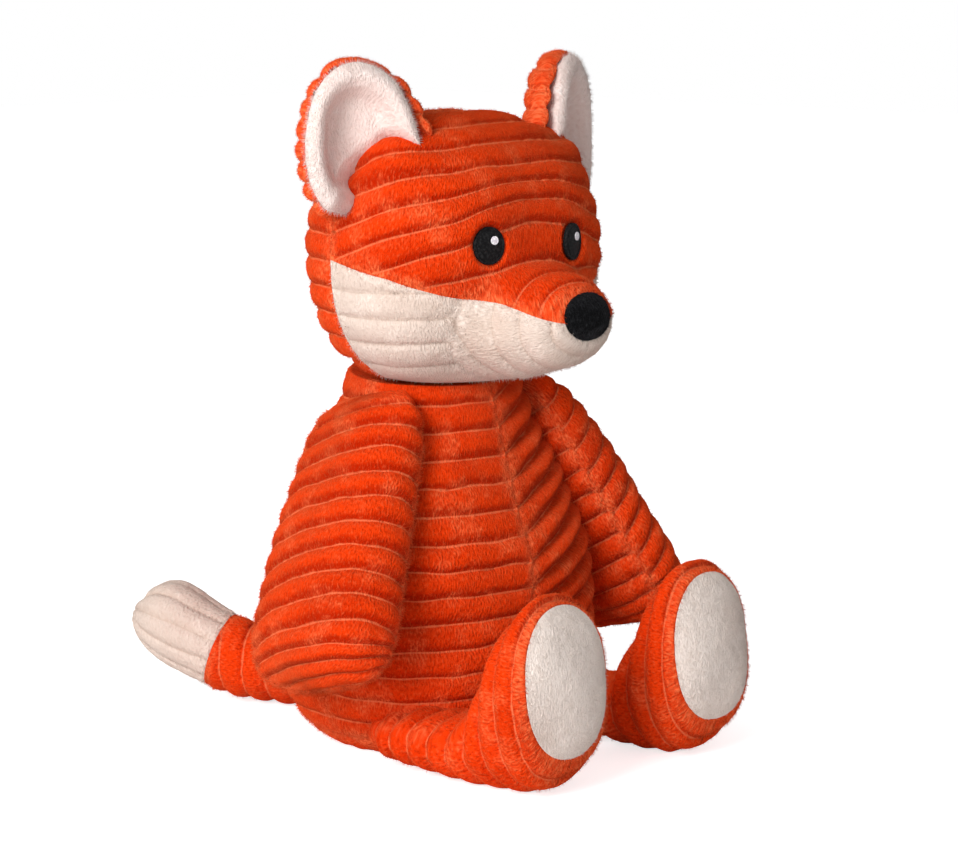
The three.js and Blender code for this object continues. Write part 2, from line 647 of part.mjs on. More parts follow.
// A moving solid once a still one is cut from it at each angle of its swing.
function trimmedBySwing(moving, still, pivot, axis, angles) {
  const geometry = geometryFrom(still);
  return angles.reduce((left, degrees) => {
    const turn = new THREE.Matrix4().makeRotationAxis(axis, -THREE.MathUtils.degToRad(degrees));
    const place = new THREE.Matrix4().makeTranslation(pivot.x, pivot.y, pivot.z)
      .multiply(turn).multiply(new THREE.Matrix4().makeTranslation(-pivot.x, -pivot.y, -pivot.z));
    return left.subtract(solidFrom(geometry.clone().applyMatrix4(place)));
  }, moving);
}

// Torso: two front panels that meet in a chevron of ribs, two back panels and a seat.
function torsoParts() {
  const cuts = (grow) => Object.values(SIDES)
    .reduce((all, side) => all.add(hipHollow(side, grow)), tailHollow(grow));
  const inner = torsoSolid({ grow: -WALL, sides: FILL_SIDES })
    .subtract(cuts(SEAM_GAP + FABRIC)).intersect(slab(FABRIC, TORSO_HEIGHT - FABRIC));
  const cover = (rise) => torsoSolid({ ribbed: true, rise })
    .intersect(slab(0, TORSO_HEIGHT)).subtract(cuts(SEAM_GAP)).subtract(inner);
  const level = cover(0);
  const chevron = cover(CHEST_RIB_RISE_SHARE);
  const region = (x0, x1, y0, y1) => box(
    new THREE.Vector3(x0, y0, SEAT_SEAM_HEIGHT + HALF_GAP), new THREE.Vector3(x1, y1, FAR));
  const middle = -TORSO_FORWARD;
  part('torso_front_right',
    level.intersect(region(-FAR, -HALF_GAP, -FAR, middle - HALF_GAP)), ORANGE);
  part('torso_front_left',
    chevron.intersect(region(HALF_GAP, FAR, -FAR, middle - HALF_GAP)), ORANGE);
  part('torso_back_right',
    level.intersect(region(-FAR, -HALF_GAP, middle + HALF_GAP, FAR)), ORANGE);
  part('torso_back_left',
    level.intersect(region(HALF_GAP, FAR, middle + HALF_GAP, FAR)), ORANGE);
  part('seat_base', level.intersect(slab(0, SEAT_SEAM_HEIGHT - HALF_GAP)), ORANGE);
  const fill = torsoSolid({ grow: -WALL - SEAM_GAP, sides: FILL_SIDES })
    .subtract(cuts(FABRIC + 2 * SEAM_GAP));
  part('torso_filling', fill.intersect(
    slab(SEAT_BAG_HEIGHT + HALF_GAP, TORSO_HEIGHT - FABRIC - SEAM_GAP)), FILL_WHITE);
  part('seat_bead_bag', fill.intersect(
    slab(FABRIC + SEAM_GAP, SEAT_BAG_HEIGHT - HALF_GAP)), BEADS);
}

function headParts() {
  const inside = (grow, base) => headSolid({ grow, sides: FILL_SIDES })
    .add(muzzleSolid({ grow, sides: FILL_SIDES })).intersect(overNeck(base));
  const inner = inside(-WALL, HEAD_BASE + FABRIC);
  const muzzle = muzzleSolid({ ribbed: true });
  const level = headSolid({ ribbed: true });
  const tilted = headSolid({ ribbed: true, tilt: BROW_RIB_TILT });
  const back = behindSideSeam(-HALF_GAP);
  const eyeWells = Object.values(SIDES)
    .map((side) => eyeDisc(side, EYE_RADIUS + SEAM_GAP, -EYE_SINK - SEAM_GAP, OVERRUN / 2))
    .reduce((all, well) => all.add(well));
  const cover = (outside) => outside.add(muzzle).intersect(overNeck(HEAD_BASE))
    .subtract(inner).subtract(nosePlug(SEAM_GAP));
  part('face_panel',
    cover(tilted).intersect(aboveCheekSeam()).subtract(back).subtract(eyeWells), ORANGE);
  const lower = cover(level);
  for (const [name, side] of Object.entries(SIDES)) {
    const below = lower.intersect(belowCheekSeam(side)).subtract(back);
    part(`cheek_${name}`, below.intersect(behindMuzzleSeam(HALF_GAP)), CREAM);
    part(`muzzle_side_${name}`, below.subtract(behindMuzzleSeam(-HALF_GAP)), CREAM);
    const eyeTop = EYE_THICKNESS - EYE_SINK;
    part(`eye_${name}`, eyeDisc(side, EYE_RADIUS, -EYE_SINK, eyeTop), BLACK, THREAD_ROUGHNESS);
    const glintBase = eyeTop + SEAM_GAP;
    const glint = eyeDisc(
      side, GLINT_RADIUS, glintBase, glintBase + GLINT_THICKNESS, GLINT_OFFSET);
    part(`eye_glint_${name}`, glint, WHITE, THREAD_ROUGHNESS);
  }
  part('head_back', level.intersect(behindSideSeam(HALF_GAP)).subtract(inner), ORANGE);
  part('nose_patch',
    muzzleSolid({ grow: NOSE_PROUD }).intersect(nosePlug(0)).subtract(inner), BLACK);
  part('head_filling', inside(-WALL - SEAM_GAP, HEAD_BASE + FABRIC + SEAM_GAP), FILL_WHITE);
  const clear = headSolid({ grow: 2 * SEAM_GAP })
    .add(headSolid({ grow: 2 * SEAM_GAP, tilt: BROW_RIB_TILT }));
  for (const [name, side] of Object.entries(SIDES)) {
    part(`ear_back_${name}`, earSolid(side, EAR_BACK_SHARES).subtract(clear), ORANGE);
    part(`ear_lining_${name}`, earSolid(side, EAR_LINING_SHARES).subtract(clear), LINING);
  }
}

function armParts() {
  const still = (grow) => torsoSolid({ grow });
  for (const [name, side] of Object.entries(SIDES)) {
    const { down, outward, ahead, top } = armFrame(side);
    const trim = (solid, grow) => trimmedBySwing(solid, still(grow), shoulder(side),
      new THREE.Vector3(0, -side, 0), SHOULDER_ANGLES);
    const inner = trim(armSolid(side, { grow: -WALL, sides: FILL_SIDES }), 2 * SEAM_GAP + FABRIC);
    const cover = trim(armSolid(side, { ribbed: true }), 2 * SEAM_GAP).subtract(inner);
    const halfSpace = (direction) => {
      const half = new THREE.BoxGeometry(FAR, FAR, FAR);
      half.translate(0, 0, FAR / 2 + HALF_GAP);
      const sideways = new THREE.Vector3().crossVectors(direction, down);
      return solidFrom(half.applyMatrix4(
        new THREE.Matrix4().makeBasis(down, sideways, direction).setPosition(top)));
    };
    const seamFacing = outward.clone().multiplyScalar(Math.cos(ARM_SEAM_TURN))
      .addScaledVector(ahead, Math.sin(ARM_SEAM_TURN));
    part(`arm_outer_${name}`, cover.intersect(halfSpace(seamFacing)), ORANGE);
    part(`arm_inner_${name}`, cover.intersect(halfSpace(seamFacing.clone().negate())), ORANGE);
    part(`arm_filling_${name}`,
      trim(armSolid(side, { grow: -WALL - SEAM_GAP, sides: FILL_SIDES }),
        3 * SEAM_GAP + FABRIC), FILL_WHITE);
  }
}

function legParts() {
  for (const [name, side] of Object.entries(SIDES)) {
    const still = torsoSolid({ grow: 2 * SEAM_GAP }).subtract(hipHollow(side, SEAM_GAP));
    const trim = (solid) => trimmedBySwing(solid, still, hipCentre(side),
      new THREE.Vector3(-1, 0, 0), HIP_ANGLES);
    const coverEnd = 1 - (FABRIC + SEAM_GAP) / LEG_LENGTH;
    const soleSpace = skin([coverEnd, 1 + OVERRUN / LEG_LENGTH]
      .map((share) => legRing(side, share, OVERRUN, 0)));
    const fill = (grow, floor) => legSolid(side, { grow, sides: FILL_SIDES })
      .intersect(aboveFloorBy(floor));
    const cover = trim(legSolid(side, { ribbed: true }).intersect(onFloor).subtract(soleSpace));
    part(`leg_cover_${name}`, cover.subtract(fill(-WALL, FABRIC)), ORANGE);
    part(`sole_${name}`, soleSolid(side, coverEnd), LINING);
    part(`leg_filling_${name}`,
      fill(-WALL - SEAM_GAP, FABRIC + SEAM_GAP).subtract(soleSpace), FILL_WHITE);
  }
}

// The sole: a disc that its filling pushes out a little.
function soleSolid(side, coverEnd) {
  const edge = legRing(side, 1, 0, 0);
  const middle = edge.reduce((sum, p) => sum.add(p), new THREE.Vector3())
    .divideScalar(edge.length);
  const outward = new THREE.Vector3(0, -Math.cos(SOLE_TILT), Math.sin(SOLE_TILT));
  const domed = ([size, bulgeShare]) => edge.map((p) => middle.clone().lerp(p, size)
    .addScaledVector(outward, SOLE_BULGE * bulgeShare));
  const start = legRing(side, coverEnd, 0, 0)
    .map((p) => p.clone().addScaledVector(outward, SEAM_GAP));
  return skin([start, edge, ...SOLE_SHARES.map(domed)]);
}

function tailParts() {
  const still = torsoSolid({ grow: 2 * SEAM_GAP }).subtract(tailHollow(SEAM_GAP));
  const seam = TAIL_SEAM_SHARE;
  const gap = SEAM_GAP / TAIL_LENGTH;
  const inside = (grow, floor) => tailSolid(0, 1, { grow, sides: FILL_SIDES })
    .add(tailRoot(grow)).intersect(aboveFloorBy(floor));
  const inner = inside(-WALL, FABRIC);
  const cover = tailSolid(0, seam, { ribbed: true }).add(tailRoot(0)).intersect(onFloor);
  part('tail_cover', trimmedBySwing(cover, still, new THREE.Vector3(0, TAIL_Y, 0), UP,
    TAIL_ANGLES).subtract(inner), ORANGE);
  part('tail_tip', tailSolid(seam + gap, 1, {}).intersect(onFloor).subtract(inner), CREAM);
  part('tail_filling', inside(-WALL - SEAM_GAP, FABRIC + SEAM_GAP), FILL_WHITE);
}

torsoParts();
headParts();
armParts();
legParts();
tailParts();

export default fox;
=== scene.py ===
import math

import bpy
import numpy as np
from bpy.props import FloatProperty, FloatVectorProperty, IntProperty, PointerProperty
from mathutils import Matrix, Vector


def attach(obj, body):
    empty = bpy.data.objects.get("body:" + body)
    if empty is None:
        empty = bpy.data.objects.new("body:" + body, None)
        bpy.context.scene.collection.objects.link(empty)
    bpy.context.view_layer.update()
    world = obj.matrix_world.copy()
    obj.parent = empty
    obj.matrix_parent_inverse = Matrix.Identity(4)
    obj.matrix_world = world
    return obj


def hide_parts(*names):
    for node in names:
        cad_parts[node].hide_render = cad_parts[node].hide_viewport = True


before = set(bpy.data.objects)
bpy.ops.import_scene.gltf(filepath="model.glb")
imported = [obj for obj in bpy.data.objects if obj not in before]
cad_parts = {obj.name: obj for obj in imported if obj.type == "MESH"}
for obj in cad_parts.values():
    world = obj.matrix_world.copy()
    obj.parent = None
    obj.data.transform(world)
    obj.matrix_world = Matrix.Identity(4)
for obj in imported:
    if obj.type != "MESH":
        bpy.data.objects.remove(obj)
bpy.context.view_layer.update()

bl_info = {
    "name": "Plush fox",
    "version": (1, 0, 0),
    "blender": (4, 5, 0),
    "location": "3D View > Sidebar > Plush fox",
    "description": "Builds a seated fox of wide-ribbed plush around its packed frame",
    "category": "Add Mesh",
}

# Lengths are in metres. +Z is up, the fox faces -Y and its left side is +X.
MM = 0.001
SIDES = {"right": -1, "left": 1}
UP = np.array([0.0, 0.0, 1.0])

# Torso
TORSO_HEIGHT = 148.5 * MM
TORSO_HALF_WIDTH = 69 * MM
TORSO_HALF_DEPTH = 56 * MM
TORSO_FORWARD = 3 * MM
TORSO_WIDEST_SHARE = 0.38
TORSO_RIBS_DOWN = 3.3 * MM
TORSO_RIB_DEPTH = 0.85
SEAT_SEAM_HEIGHT = 8 * MM
CHEST_RISE_SHARE = 0.33
CHEST_EXTRA_DEPTH = 1.5
CHEST_DEEPENING = (3 * MM, 17 * MM)
CHEST_FADE = 20 * MM

# Neck: the torso's rounded top, in the room that the head leaves in all its turns
NECK_PIVOT = np.array([0, -TORSO_FORWARD])
NECK_TURNS = np.radians([-25, -12, 0, 12, 25])
NECK_RISE = 7 * MM
NECK_ROUNDING = 9 * MM
NECK_BLEND = 0.8 * MM
NECK_GAP = 0.4 * MM
NECK_BALD = (3.5 * MM, 6 * MM)
NECK_FLATTENING = (-4 * MM, 2 * MM)
NECK_RIB_SHARE = 0.6

# Head
HEAD_HALF_WIDTH = 64.5 * MM
HEAD_HALF_DEPTH = 45 * MM
HEAD_HALF_HEIGHT = 55.6 * MM
HEAD_FORWARD = 15 * MM
HEAD_BASE = TORSO_HEIGHT + 0.3 * MM
NECK_FLAT_SHARE = 0.951
HEAD_MIDDLE = np.array([0, -HEAD_FORWARD, HEAD_BASE + HEAD_HALF_HEIGHT * NECK_FLAT_SHARE])
BROW_TILT = math.radians(20)
BROW_MEETING = np.array([-41 * MM, -3.7 * MM])
BROW_TURNING = (36 * MM, 56 * MM)
MUZZLE_REACH = 74 * MM
MUZZLE_HALF_WIDTH = 36 * MM
MUZZLE_HALF_HEIGHT = 25 * MM
MUZZLE_DROP = 25.5 * MM
MUZZLE_BLEND = 7 * MM
BASE_ROUNDING = 3 * MM
BASE_FLATTENING = 5 * MM
NOSE_HALF_WIDTH = 13.4 * MM
NOSE_HALF_HEIGHT = 9.4 * MM
NOSE_RISE = 3 * MM
NOSE_BULGE = 2.6 * MM
NOSE_BULGE_EDGE = 8 * MM
EYE_RADIUS = 7.4 * MM
EYE_SPACING = 50 * MM
EYE_RISE = 4.8 * MM
FAR_EYE_DROP = 1.6 * MM
FAR_EYE_TURN = np.array([0.17, 0, 0])
EYE_THICKNESS = 1.6 * MM
EYE_RIM = 0.9 * MM
EYE_SINK = 1.5 * MM
EYE_HOLD_RADIUS = 9 * MM
EYE_DENT = 2.4 * MM
EYE_DENT_SHARES = (0.85, 1.3)
GLINT_RADIUS = 1.7 * MM
GLINT_THICKNESS = 0.5 * MM
GLINT_RIM = 0.3 * MM
GLINT_SINK = 0.2 * MM
GLINT_OFFSET = np.array([2 * MM, 0, 2 * MM])
EAR_WIDTH = 48 * MM
EAR_HEIGHT = 46 * MM
EAR_DEPTH = 16 * MM
EAR_BACK_WIDENING = 15 * MM
EAR_SUNK_DEPTH = 14 * MM
EAR_SUNK_AIM = 12 * MM
EAR_SUNK_BACKWARD = 0.4
EAR_FOOT_BLEND = (-1.5 * MM, 7 * MM)
EAR_RIM_SHARES = (0.66, 0.9)
EAR_FOLD_HEIGHT = 0.9 * MM
EAR_FOLD_SPACING = 19 * MM
EAR_FOLD_RADII = (8 * MM, 20 * MM)
EAR_PILE_SWEEP = 1.1
EAR_HOLD_RADIUS = 24 * MM
EAR_MOUND_HEIGHT = 5.5 * MM
EAR_MOUND_RADIUS = 15 * MM
EAR_MOUND_INSET = 5 * MM
EAR_MOUND_RISE = 10 * MM

# The place inside the head that its skin is measured from, and how it is measured
HEAD_HEART = np.array([0, -36 * MM, 182 * MM])
HEAD_MEAN_RADIUS = 58 * MM
HEAD_SEARCH_REACH = 130 * MM
HEAD_SEARCH_STEPS = 22

# Arms, legs and tail
SHOULDER_HEIGHT = TORSO_HEIGHT - 5.5 * MM
SHOULDER_FORWARD = 2.5 * MM
ARM_LENGTH = 124 * MM
ARM_HALF_WIDTH = 34 * MM
ARM_HALF_THICKNESS = 21 * MM
ARM_SPREAD_SHARE = 0.543
ARM_REACH_SHARE = 0.24
ARM_SEAM_TURN = math.radians(20)
ARM_ROOT = 14 * MM
ARM_RIB_SLOPE = 0.16
LEFT_OUTER_RIB_SLOPE = 0.35
LEFT_INNER_RIB_SLOPE = 0.15
ARM_TIP_SHARES = (0.8, 0.93)
ARM_FLATTENING = (2 * MM, 8 * MM)
HIP_HEIGHT = 14 * MM
HIP_SPACING = 87 * MM
LEG_LENGTH = 70 * MM
FOOT_HALF_WIDTH = 28 * MM
FOOT_HALF_HEIGHT = 39 * MM
SOLE_TILT = math.radians(6)
SOLE_BULGE = 4 * MM
LEG_ROOT = 26 * MM
LEG_FULLNESS = 0.7
LEG_RIBS_AHEAD = 3.5 * MM
SOLE_SEAM_AHEAD = 0.4 * MM
TAIL_HEIGHT = 15.5 * MM
TAIL_LENGTH = 92 * MM
TAIL_HALF_WIDTH = 17.5 * MM
TAIL_RISE = 28 * MM
TAIL_TURN = math.radians(27)
TAIL_ROOT_REACH = 12 * MM
TAIL_TIP_RIBS = 11

# Shapes, as shares of the sizes above
# Torso: height, half width, half depth
TORSO_SHARES = [
    (0, 0.63, 0.67), (0.035, 0.75, 0.79), (0.1, 0.87, 0.9), (0.24, 0.98, 0.985), (0.38, 1, 1),
    (0.55, 0.96, 0.97), (0.63, 0.92, 0.88), (0.7, 0.845, 0.82), (0.76, 0.77, 0.77),
    (0.82, 0.68, 0.72), (0.89, 0.6, 0.655), (0.95, 0.56, 0.6), (1, 0.52, 0.56),
]
# Muzzle: reach from the head's middle, half width, half height
MUZZLE_SHARES = [
    (0.3, 1, 1), (0.573, 0.86, 0.96), (0.72, 0.75, 0.84), (0.853, 0.63, 0.72), (0.93, 0.5, 0.56),
    (0.975, 0.33, 0.37), (1, 0.02, 0.02),
]
# Arm: way down the arm, half width, half thickness
ARM_SHARES = [
    (0, 0.58, 0.16), (0.05, 0.76, 0.42), (0.13, 0.85, 0.68), (0.32, 0.92, 0.88),
    (0.6, 0.97, 0.98), (0.8, 1, 1), (0.91, 0.9, 0.84), (0.97, 0.66, 0.55), (1, 0.3, 0.2),
]
# Leg: way along the leg, half width, half height, height of its middle over the floor
LEG_SHARES = [
    (0, 0.8, 0.31, 0.33), (0.2, 0.81, 0.32, 0.33), (0.4, 0.84, 0.37, 0.37),
    (0.52, 0.88, 0.5, 0.5), (0.6, 0.92, 0.65, 0.655), (0.7, 0.96, 0.82, 0.825),
    (0.8, 0.99, 0.925, 0.955), (0.9, 1, 0.96, 1.07), (0.96, 0.97, 0.9, 1.14),
    (1, 0.87, 0.8, 1.18),
]
# Tail: way along the tail, half width and half height
TAIL_SHARES = [
    (0, 0.78, 0.8), (0.17, 0.9, 0.9), (0.35, 0.98, 0.93), (0.55, 1, 0.94), (0.8, 1, 0.97),
    (0.92, 0.88, 0.9), (0.98, 0.62, 0.66), (1, 0.4, 0.42),
]
TAIL_SEAM_SHARE = 0.62
# Seam between brow and cheek, seen from the side: forward of the head's middle, above it
CHEEK_SEAM_SHARES = [
    (-0.4, 0.02), (-0.08, -0.03), (0.48, -0.13), (0.72, -0.21), (0.88, -0.277), (1.12, -0.31),
    (1.3, -0.354), (1.9, -0.52),
]
SIDE_SEAM_SHARE = -0.04
SIDE_SEAM_BACK = 4 * MM
MUZZLE_SEAM_SHARES = [(0.88, -0.277), (0.62, -0.95)]
# Ear outline from the middle of its base: outward, upward
EAR_SHARES = [
    (-0.42, 0.22), (-0.34, 0.55), (-0.19, 0.84), (0.02, 0.99), (0.22, 1.02), (0.4, 0.93),
    (0.54, 0.73), (0.6, 0.44), (0.6, 0.16), (0.54, -0.1), (0.4, -0.28), (0.15, -0.36),
    (-0.17, -0.32), (-0.34, -0.1),
]
EAR_MIDDLE_SHARES = (0.13, 0.33)
# Line on which an ear is sewn to the head: outward, upward
EAR_FOOT_SHARES = [
    (-0.49, 0.2), (-0.385, 0.27), (-0.2, 0.42), (-0.12, 0.43), (0.13, 0.21), (0.26, 0.11),
    (0.32, -0.06), (0.41, -0.2), (0.46, -0.3), (0.62, -0.4),
]
EAR_SEAT_SHARES = (0.86, -0.24, 0.536)
EAR_FACING = (0.41, -0.91, 0.06)
# Cup sections from the middle of the hollow over the rim to the middle of the back:
# size of the outline, depth behind the rim
EAR_BACK_SHARES = [
    (0.3, 0.72), (0.62, 0.6), (0.83, 0.3), (0.91, 0.02), (1, 0), (1.04, 0.3), (0.9, 0.74),
    (0.5, 0.98),
]
EAR_LINING_SHARES = [
    (0.28, 0.46), (0.5, 0.36), (0.6, 0.12), (0.68, -0.14), (0.8, -0.28), (0.92, -0.22),
    (0.965, -0.05), (0.82, 0.28), (0.58, 0.56), (0.28, 0.68),
]

# Squareness of the cross-sections and of the head's round side view
TORSO_SQUARE = 2.4
HEAD_SQUARE = 2.6
HEAD_TOP_SQUARE = 2.2
HEAD_BASE_SQUARE = 2.5
LIMB_SQUARE = 2.2
ROUND = 2.0

# Fineness of the cloth's meshes
CLOTH_STEP = 0.85 * MM
ROWS_PER_RIB = 12

# Unevenness of the cloth: how much it is, and the size of its waves
RIB_WANDER = (0.035, 55 * MM)
RIB_WOBBLE = (0.025, 15 * MM)
RIB_UNEVENNESS = (0.14, 32 * MM)
CLOTH_HILLS = (0.6 * MM, 38 * MM)
CLOTH_GRAIN = (0.07 * MM, 5 * MM)
PILE_SWIRL = (0.3, 14 * MM)

# Ribs, pile and edges of the cloth
RIB_END_SHARE = 0.3
RIB_ROUNDING = 0.55
FIBRES_PER_AREA = 0.42 / (MM * MM)
FIBRE_HALF_WIDTH = 0.13 * MM
FIBRE_SCATTER = 0.3
FIBRE_BEND = 0.1
FIBRE_DROOP = 0.3
FIBRE_ROOT = 0.4 * MM
SEAM_PILE_WIDTH = 7 * MM
SEAM_FLAT_WIDTH = 1.4 * MM
EDGE_TUCK = 5 * MM
FLOOR_GAP = 0.15 * MM
FLOOR_BALD_HEIGHT = 2.5 * MM

# Cloth simulation
FRAMES = 20
COARSE = 5 * MM

# Camera of the photograph
CAMERA_YAW = math.radians(45.8)
CAMERA_DISTANCE = 1273.5 * MM
CAMERA_HEIGHT = 324 * MM
CAMERA_TARGET = Vector((0, 0, 130 * MM))
METRES_PER_PIXEL = 0.4097 * MM
PICTURE_SIZE = (958, 841)
TARGET_PIXEL = (428.09, 418.3)
SENSOR_WIDTH_MM = 36

# Studio light: name, place, size and watts of each lamp
LAMPS = [
    ("Key", (-1.75, -0.5, 1.0), 0.9, 32),
    ("Front", (-1.65, -1.4, 0.8), 1.0, 5),
    ("Low", (-1.7, -0.4, 0.12), 0.8, 7),
    ("Back", (0.4, 1.4, 1.3), 1.0, 4),
]
SKY_LIGHT = 0.3
FLOOR_GLOW = 0.72


def length_setting(name, text, default):
    return FloatProperty(name=name, description=text, default=default, unit="LENGTH")


def colour_setting(name, text, default):
    return FloatVectorProperty(name=name, description=text, default=default, size=3,
                               subtype="COLOR")


class FoxSizes(bpy.types.PropertyGroup):
    rib_pitch: length_setting("Rib pitch", "Distance from one rib of the plush to the next",
                              10.5 * MM)
    rib_depth: length_setting("Rib depth", "Depth of the groove between two ribs", 2.6 * MM)
    seam_width: length_setting("Seam width", "How far from a seam the cloth starts to roll in",
                               3.5 * MM)
    seam_depth: length_setting("Seam depth", "How deep a seam is pulled in", 0.6 * MM)
    pile_length: length_setting("Pile length", "Length of the longest pile fibres", 2.2 * MM)
    pile_seed: IntProperty(
        name="Pile seed", description="Start of the random draws that place the pile", default=7)


class FoxColours(bpy.types.PropertyGroup):
    # The deep colours darken random patches and rows of the pile and give the painted shade on each
    # rib's downward flank; the light colours lighten brushed patches, seam fuzz and pile tips and
    # give a little painted light on each rib's upward flank
    orange: colour_setting("Orange", "Plush of the body", (0.79, 0.045, 0.0035))
    orange_deep: colour_setting("Deep orange", "Plush where the pile is pressed or shaded",
                                (0.4, 0.012, 0.001))
    orange_light: colour_setting("Light orange", "Tips of brushed pile", (0.9, 0.165, 0.055))
    orange_line: colour_setting("Orange line", "Parted pile in the grooves", (0.9, 0.24, 0.1))
    cream: colour_setting("Cream", "Plush of the cheeks and tail tip", (0.67, 0.54, 0.465))
    cream_deep: colour_setting("Deep cream", "Cream plush in the grooves", (0.56, 0.42, 0.34))
    cream_light: colour_setting("Light cream", "Tips of the cream pile", (0.86, 0.74, 0.66))
    hollow: colour_setting("Hollow", "Fluffy plush in the ears", (0.8, 0.65, 0.6))
    hollow_deep: colour_setting("Deep hollow", "Fluffy plush between its tufts", (0.66, 0.48, 0.42))
    hollow_light: colour_setting("Light hollow", "Tips of the fluffy pile", (0.9, 0.8, 0.76))
    sole: colour_setting("Sole", "Smooth plush of the soles", (0.86, 0.755, 0.69))
    sole_deep: colour_setting("Deep sole", "Smooth plush between its tufts", (0.6, 0.47, 0.41))
    black: colour_setting("Black", "Nose plush and eye thread", (0.004, 0.004, 0.0045))


# Reading the tables and forms

def follow(rows, place, column):
    """A column of a table at any place between its rows, along a smooth curve."""
    table = np.asarray(rows, float)
    x, y = table[:, 0], table[:, column]
    before = np.maximum(np.arange(len(x)) - 1, 0)
    after = np.minimum(np.arange(len(x)) + 1, len(x) - 1)
    slope = (y[after] - y[before]) / (x[after] - x[before])
    inside = np.clip(place, x[0], x[-1])
    row = np.clip(np.searchsorted(x, inside, "left") - 1, 0, len(x) - 2)
    step = x[row + 1] - x[row]
    t = (inside - x[row]) / step
    return ((2 * t**3 - 3 * t**2 + 1) * y[row] + (t**3 - 2 * t**2 + t) * step * slope[row]
            + (3 * t**2 - 2 * t**3) * y[row + 1] + (t**3 - t**2) * step * slope[row + 1])


def smoothstep(value, low, high):
    """0 where value is low, 1 where it is high, smooth between."""
    t = np.clip((value - low) / (high - low), 0, 1)
    return t * t * (3 - 2 * t)


def soft_least(a, b, blend):
    """The lesser of two values, with a rounded change from one to the other."""
    h = np.clip(0.5 + 0.5 * (b - a) / blend, 0, 1)
    return b + (a - b) * h - blend * h * (1 - h)


def unit(vector):
    vector = np.asarray(vector, float)
    return vector / np.linalg.norm(vector, axis=-1, keepdims=True)


def waves(points, kind, seed, count=14):
    """Smooth, rolling noise over places in space, where kind is its height and wave size."""
    height, size = kind
    rng = np.random.default_rng(seed)
    total = np.zeros(points.shape[:-1])
    for _ in range(count):
        direction = unit(rng.normal(size=3))
        length = size * rng.uniform(0.7, 1.6)
        total += np.sin(points @ direction * (2 * math.pi / length) + rng.uniform(0, 2 * math.pi))
    return height * (total / math.sqrt(count))


def section(angle, half_width, half_height, square):
    """Points round a rounded outline, as its two coordinates."""
    c, s = np.cos(angle), np.sin(angle)
    out = (np.abs(c) ** square + np.abs(s) ** square) ** (-1 / square)
    return half_width * out * c, half_height * out * s


# Skins: closed surfaces, dense enough for the ribs, that the panels are cut from

class Skin:
    """Points, triangles and fields, which hold a value for each point.

    The fields are normal, a direction out of the surface, and seam, the way to the nearest
    seam. The torso's skin also has inset, and the ears' skins have rim and beyond.
    """

    def __init__(self, points, faces, fields):
        self.points = points
        self.faces = faces
        self.fields = fields

    def cut(self, side):
        """The part where side is above 0, with new points where it crosses 0."""
        inside = side > 0
        count = inside[self.faces].sum(1)
        mixed = self.faces[(count == 1) | (count == 2)]
        within = inside[mixed]
        one_in = within.sum(1) == 1
        lone = np.where(one_in, within.argmax(1), within.argmin(1))
        turned = np.take_along_axis(mixed, (lone[:, None] + np.arange(3)) % 3, 1)
        edges = np.sort(np.concatenate([turned[:, [0, 1]], turned[:, [0, 2]]]), axis=1)
        ends, back = np.unique(edges, axis=0, return_inverse=True)
        back = back.reshape(-1) + len(self.points)
        share = side[ends[:, 0]] / (side[ends[:, 0]] - side[ends[:, 1]])

        def grown(values):
            t = share.reshape((-1,) + (1,) * (values.ndim - 1))
            return np.concatenate([values, values[ends[:, 0]] * (1 - t) + values[ends[:, 1]] * t])

        a, b, c = turned.T
        ab, ac = back[:len(turned)], back[len(turned):]
        corner = np.stack([a, ab, ac], 1)[one_in]
        rest = ~one_in
        wide = np.concatenate([np.stack([ab, b, c], 1)[rest], np.stack([ab, c, ac], 1)[rest]])
        faces = np.concatenate([self.faces[count == 3], corner, wide])
        fields = {name: grown(values) for name, values in self.fields.items()}
        fields["seam"] = np.minimum(fields["seam"], np.abs(grown(side)))
        return Skin(grown(self.points), faces, fields).compact()

    def compact(self):
        """The same skin without the points that no face uses."""
        used, back = np.unique(self.faces, return_inverse=True)
        fields = {name: values[used] for name, values in self.fields.items()}
        return Skin(self.points[used], back.reshape(-1, 3), fields)


def corner_normals(points, faces):
    """A direction out of the surface at each point."""
    a, b, c = (points[faces[:, k]] for k in range(3))
    across = np.cross(b - a, c - a)
    total = np.zeros_like(points)
    for k in range(3):
        np.add.at(total, faces[:, k], across)
    length = np.linalg.norm(total, axis=1, keepdims=True)
    return total / np.maximum(length, 1e-20)


def loft(rings):
    """A closed skin over rings, an array of (ring, point, xyz), with both ends closed."""
    rows, columns, _ = rings.shape
    points = np.concatenate([rings.reshape(-1, 3), rings[:1].mean(1), rings[-1:].mean(1)])
    start = np.arange(rows - 1)[:, None] * columns
    here = np.arange(columns)
    following = (here + 1) % columns
    a, b = start + here, start + following
    quads = [np.stack([a, b, b + columns], -1), np.stack([a, b + columns, a + columns], -1)]
    first = np.stack([np.full(columns, rows * columns), following, here], -1)
    last_row = (rows - 1) * columns
    last = np.stack([np.full(columns, rows * columns + 1), last_row + here,
                     last_row + following], -1)
    faces = np.concatenate([q.reshape(-1, 3) for q in quads] + [first, last])
    corners = points[faces]
    volume = np.einsum("ij,ij->", corners[:, 0], np.cross(corners[:, 1], corners[:, 2]))
    if volume < 0:
        faces = faces[:, ::-1]
    fields = {"normal": corner_normals(points, faces), "seam": np.full(len(points), 1.0)}
    return Skin(points, faces, fields)


def even_places(curve, step):
    """Places from 0 to 1 along a curve of points, spaced evenly about a step apart."""
    lengths = np.concatenate([[0], np.cumsum(np.linalg.norm(np.diff(curve, axis=0), axis=1))])
    count = max(int(lengths[-1] / step), 8)
    return np.interp(np.linspace(0, lengths[-1], count), lengths, np.linspace(0, 1, len(curve)))


# Filling: what pressure from inside does to a body's cloth

def deselect_all():
    for other in bpy.context.selected_objects:
        other.select_set(False)


def only(made):
    """Deselects everything but one object and makes it the active one."""
    deselect_all()
    made.select_set(True)
    bpy.context.view_layer.objects.active = made


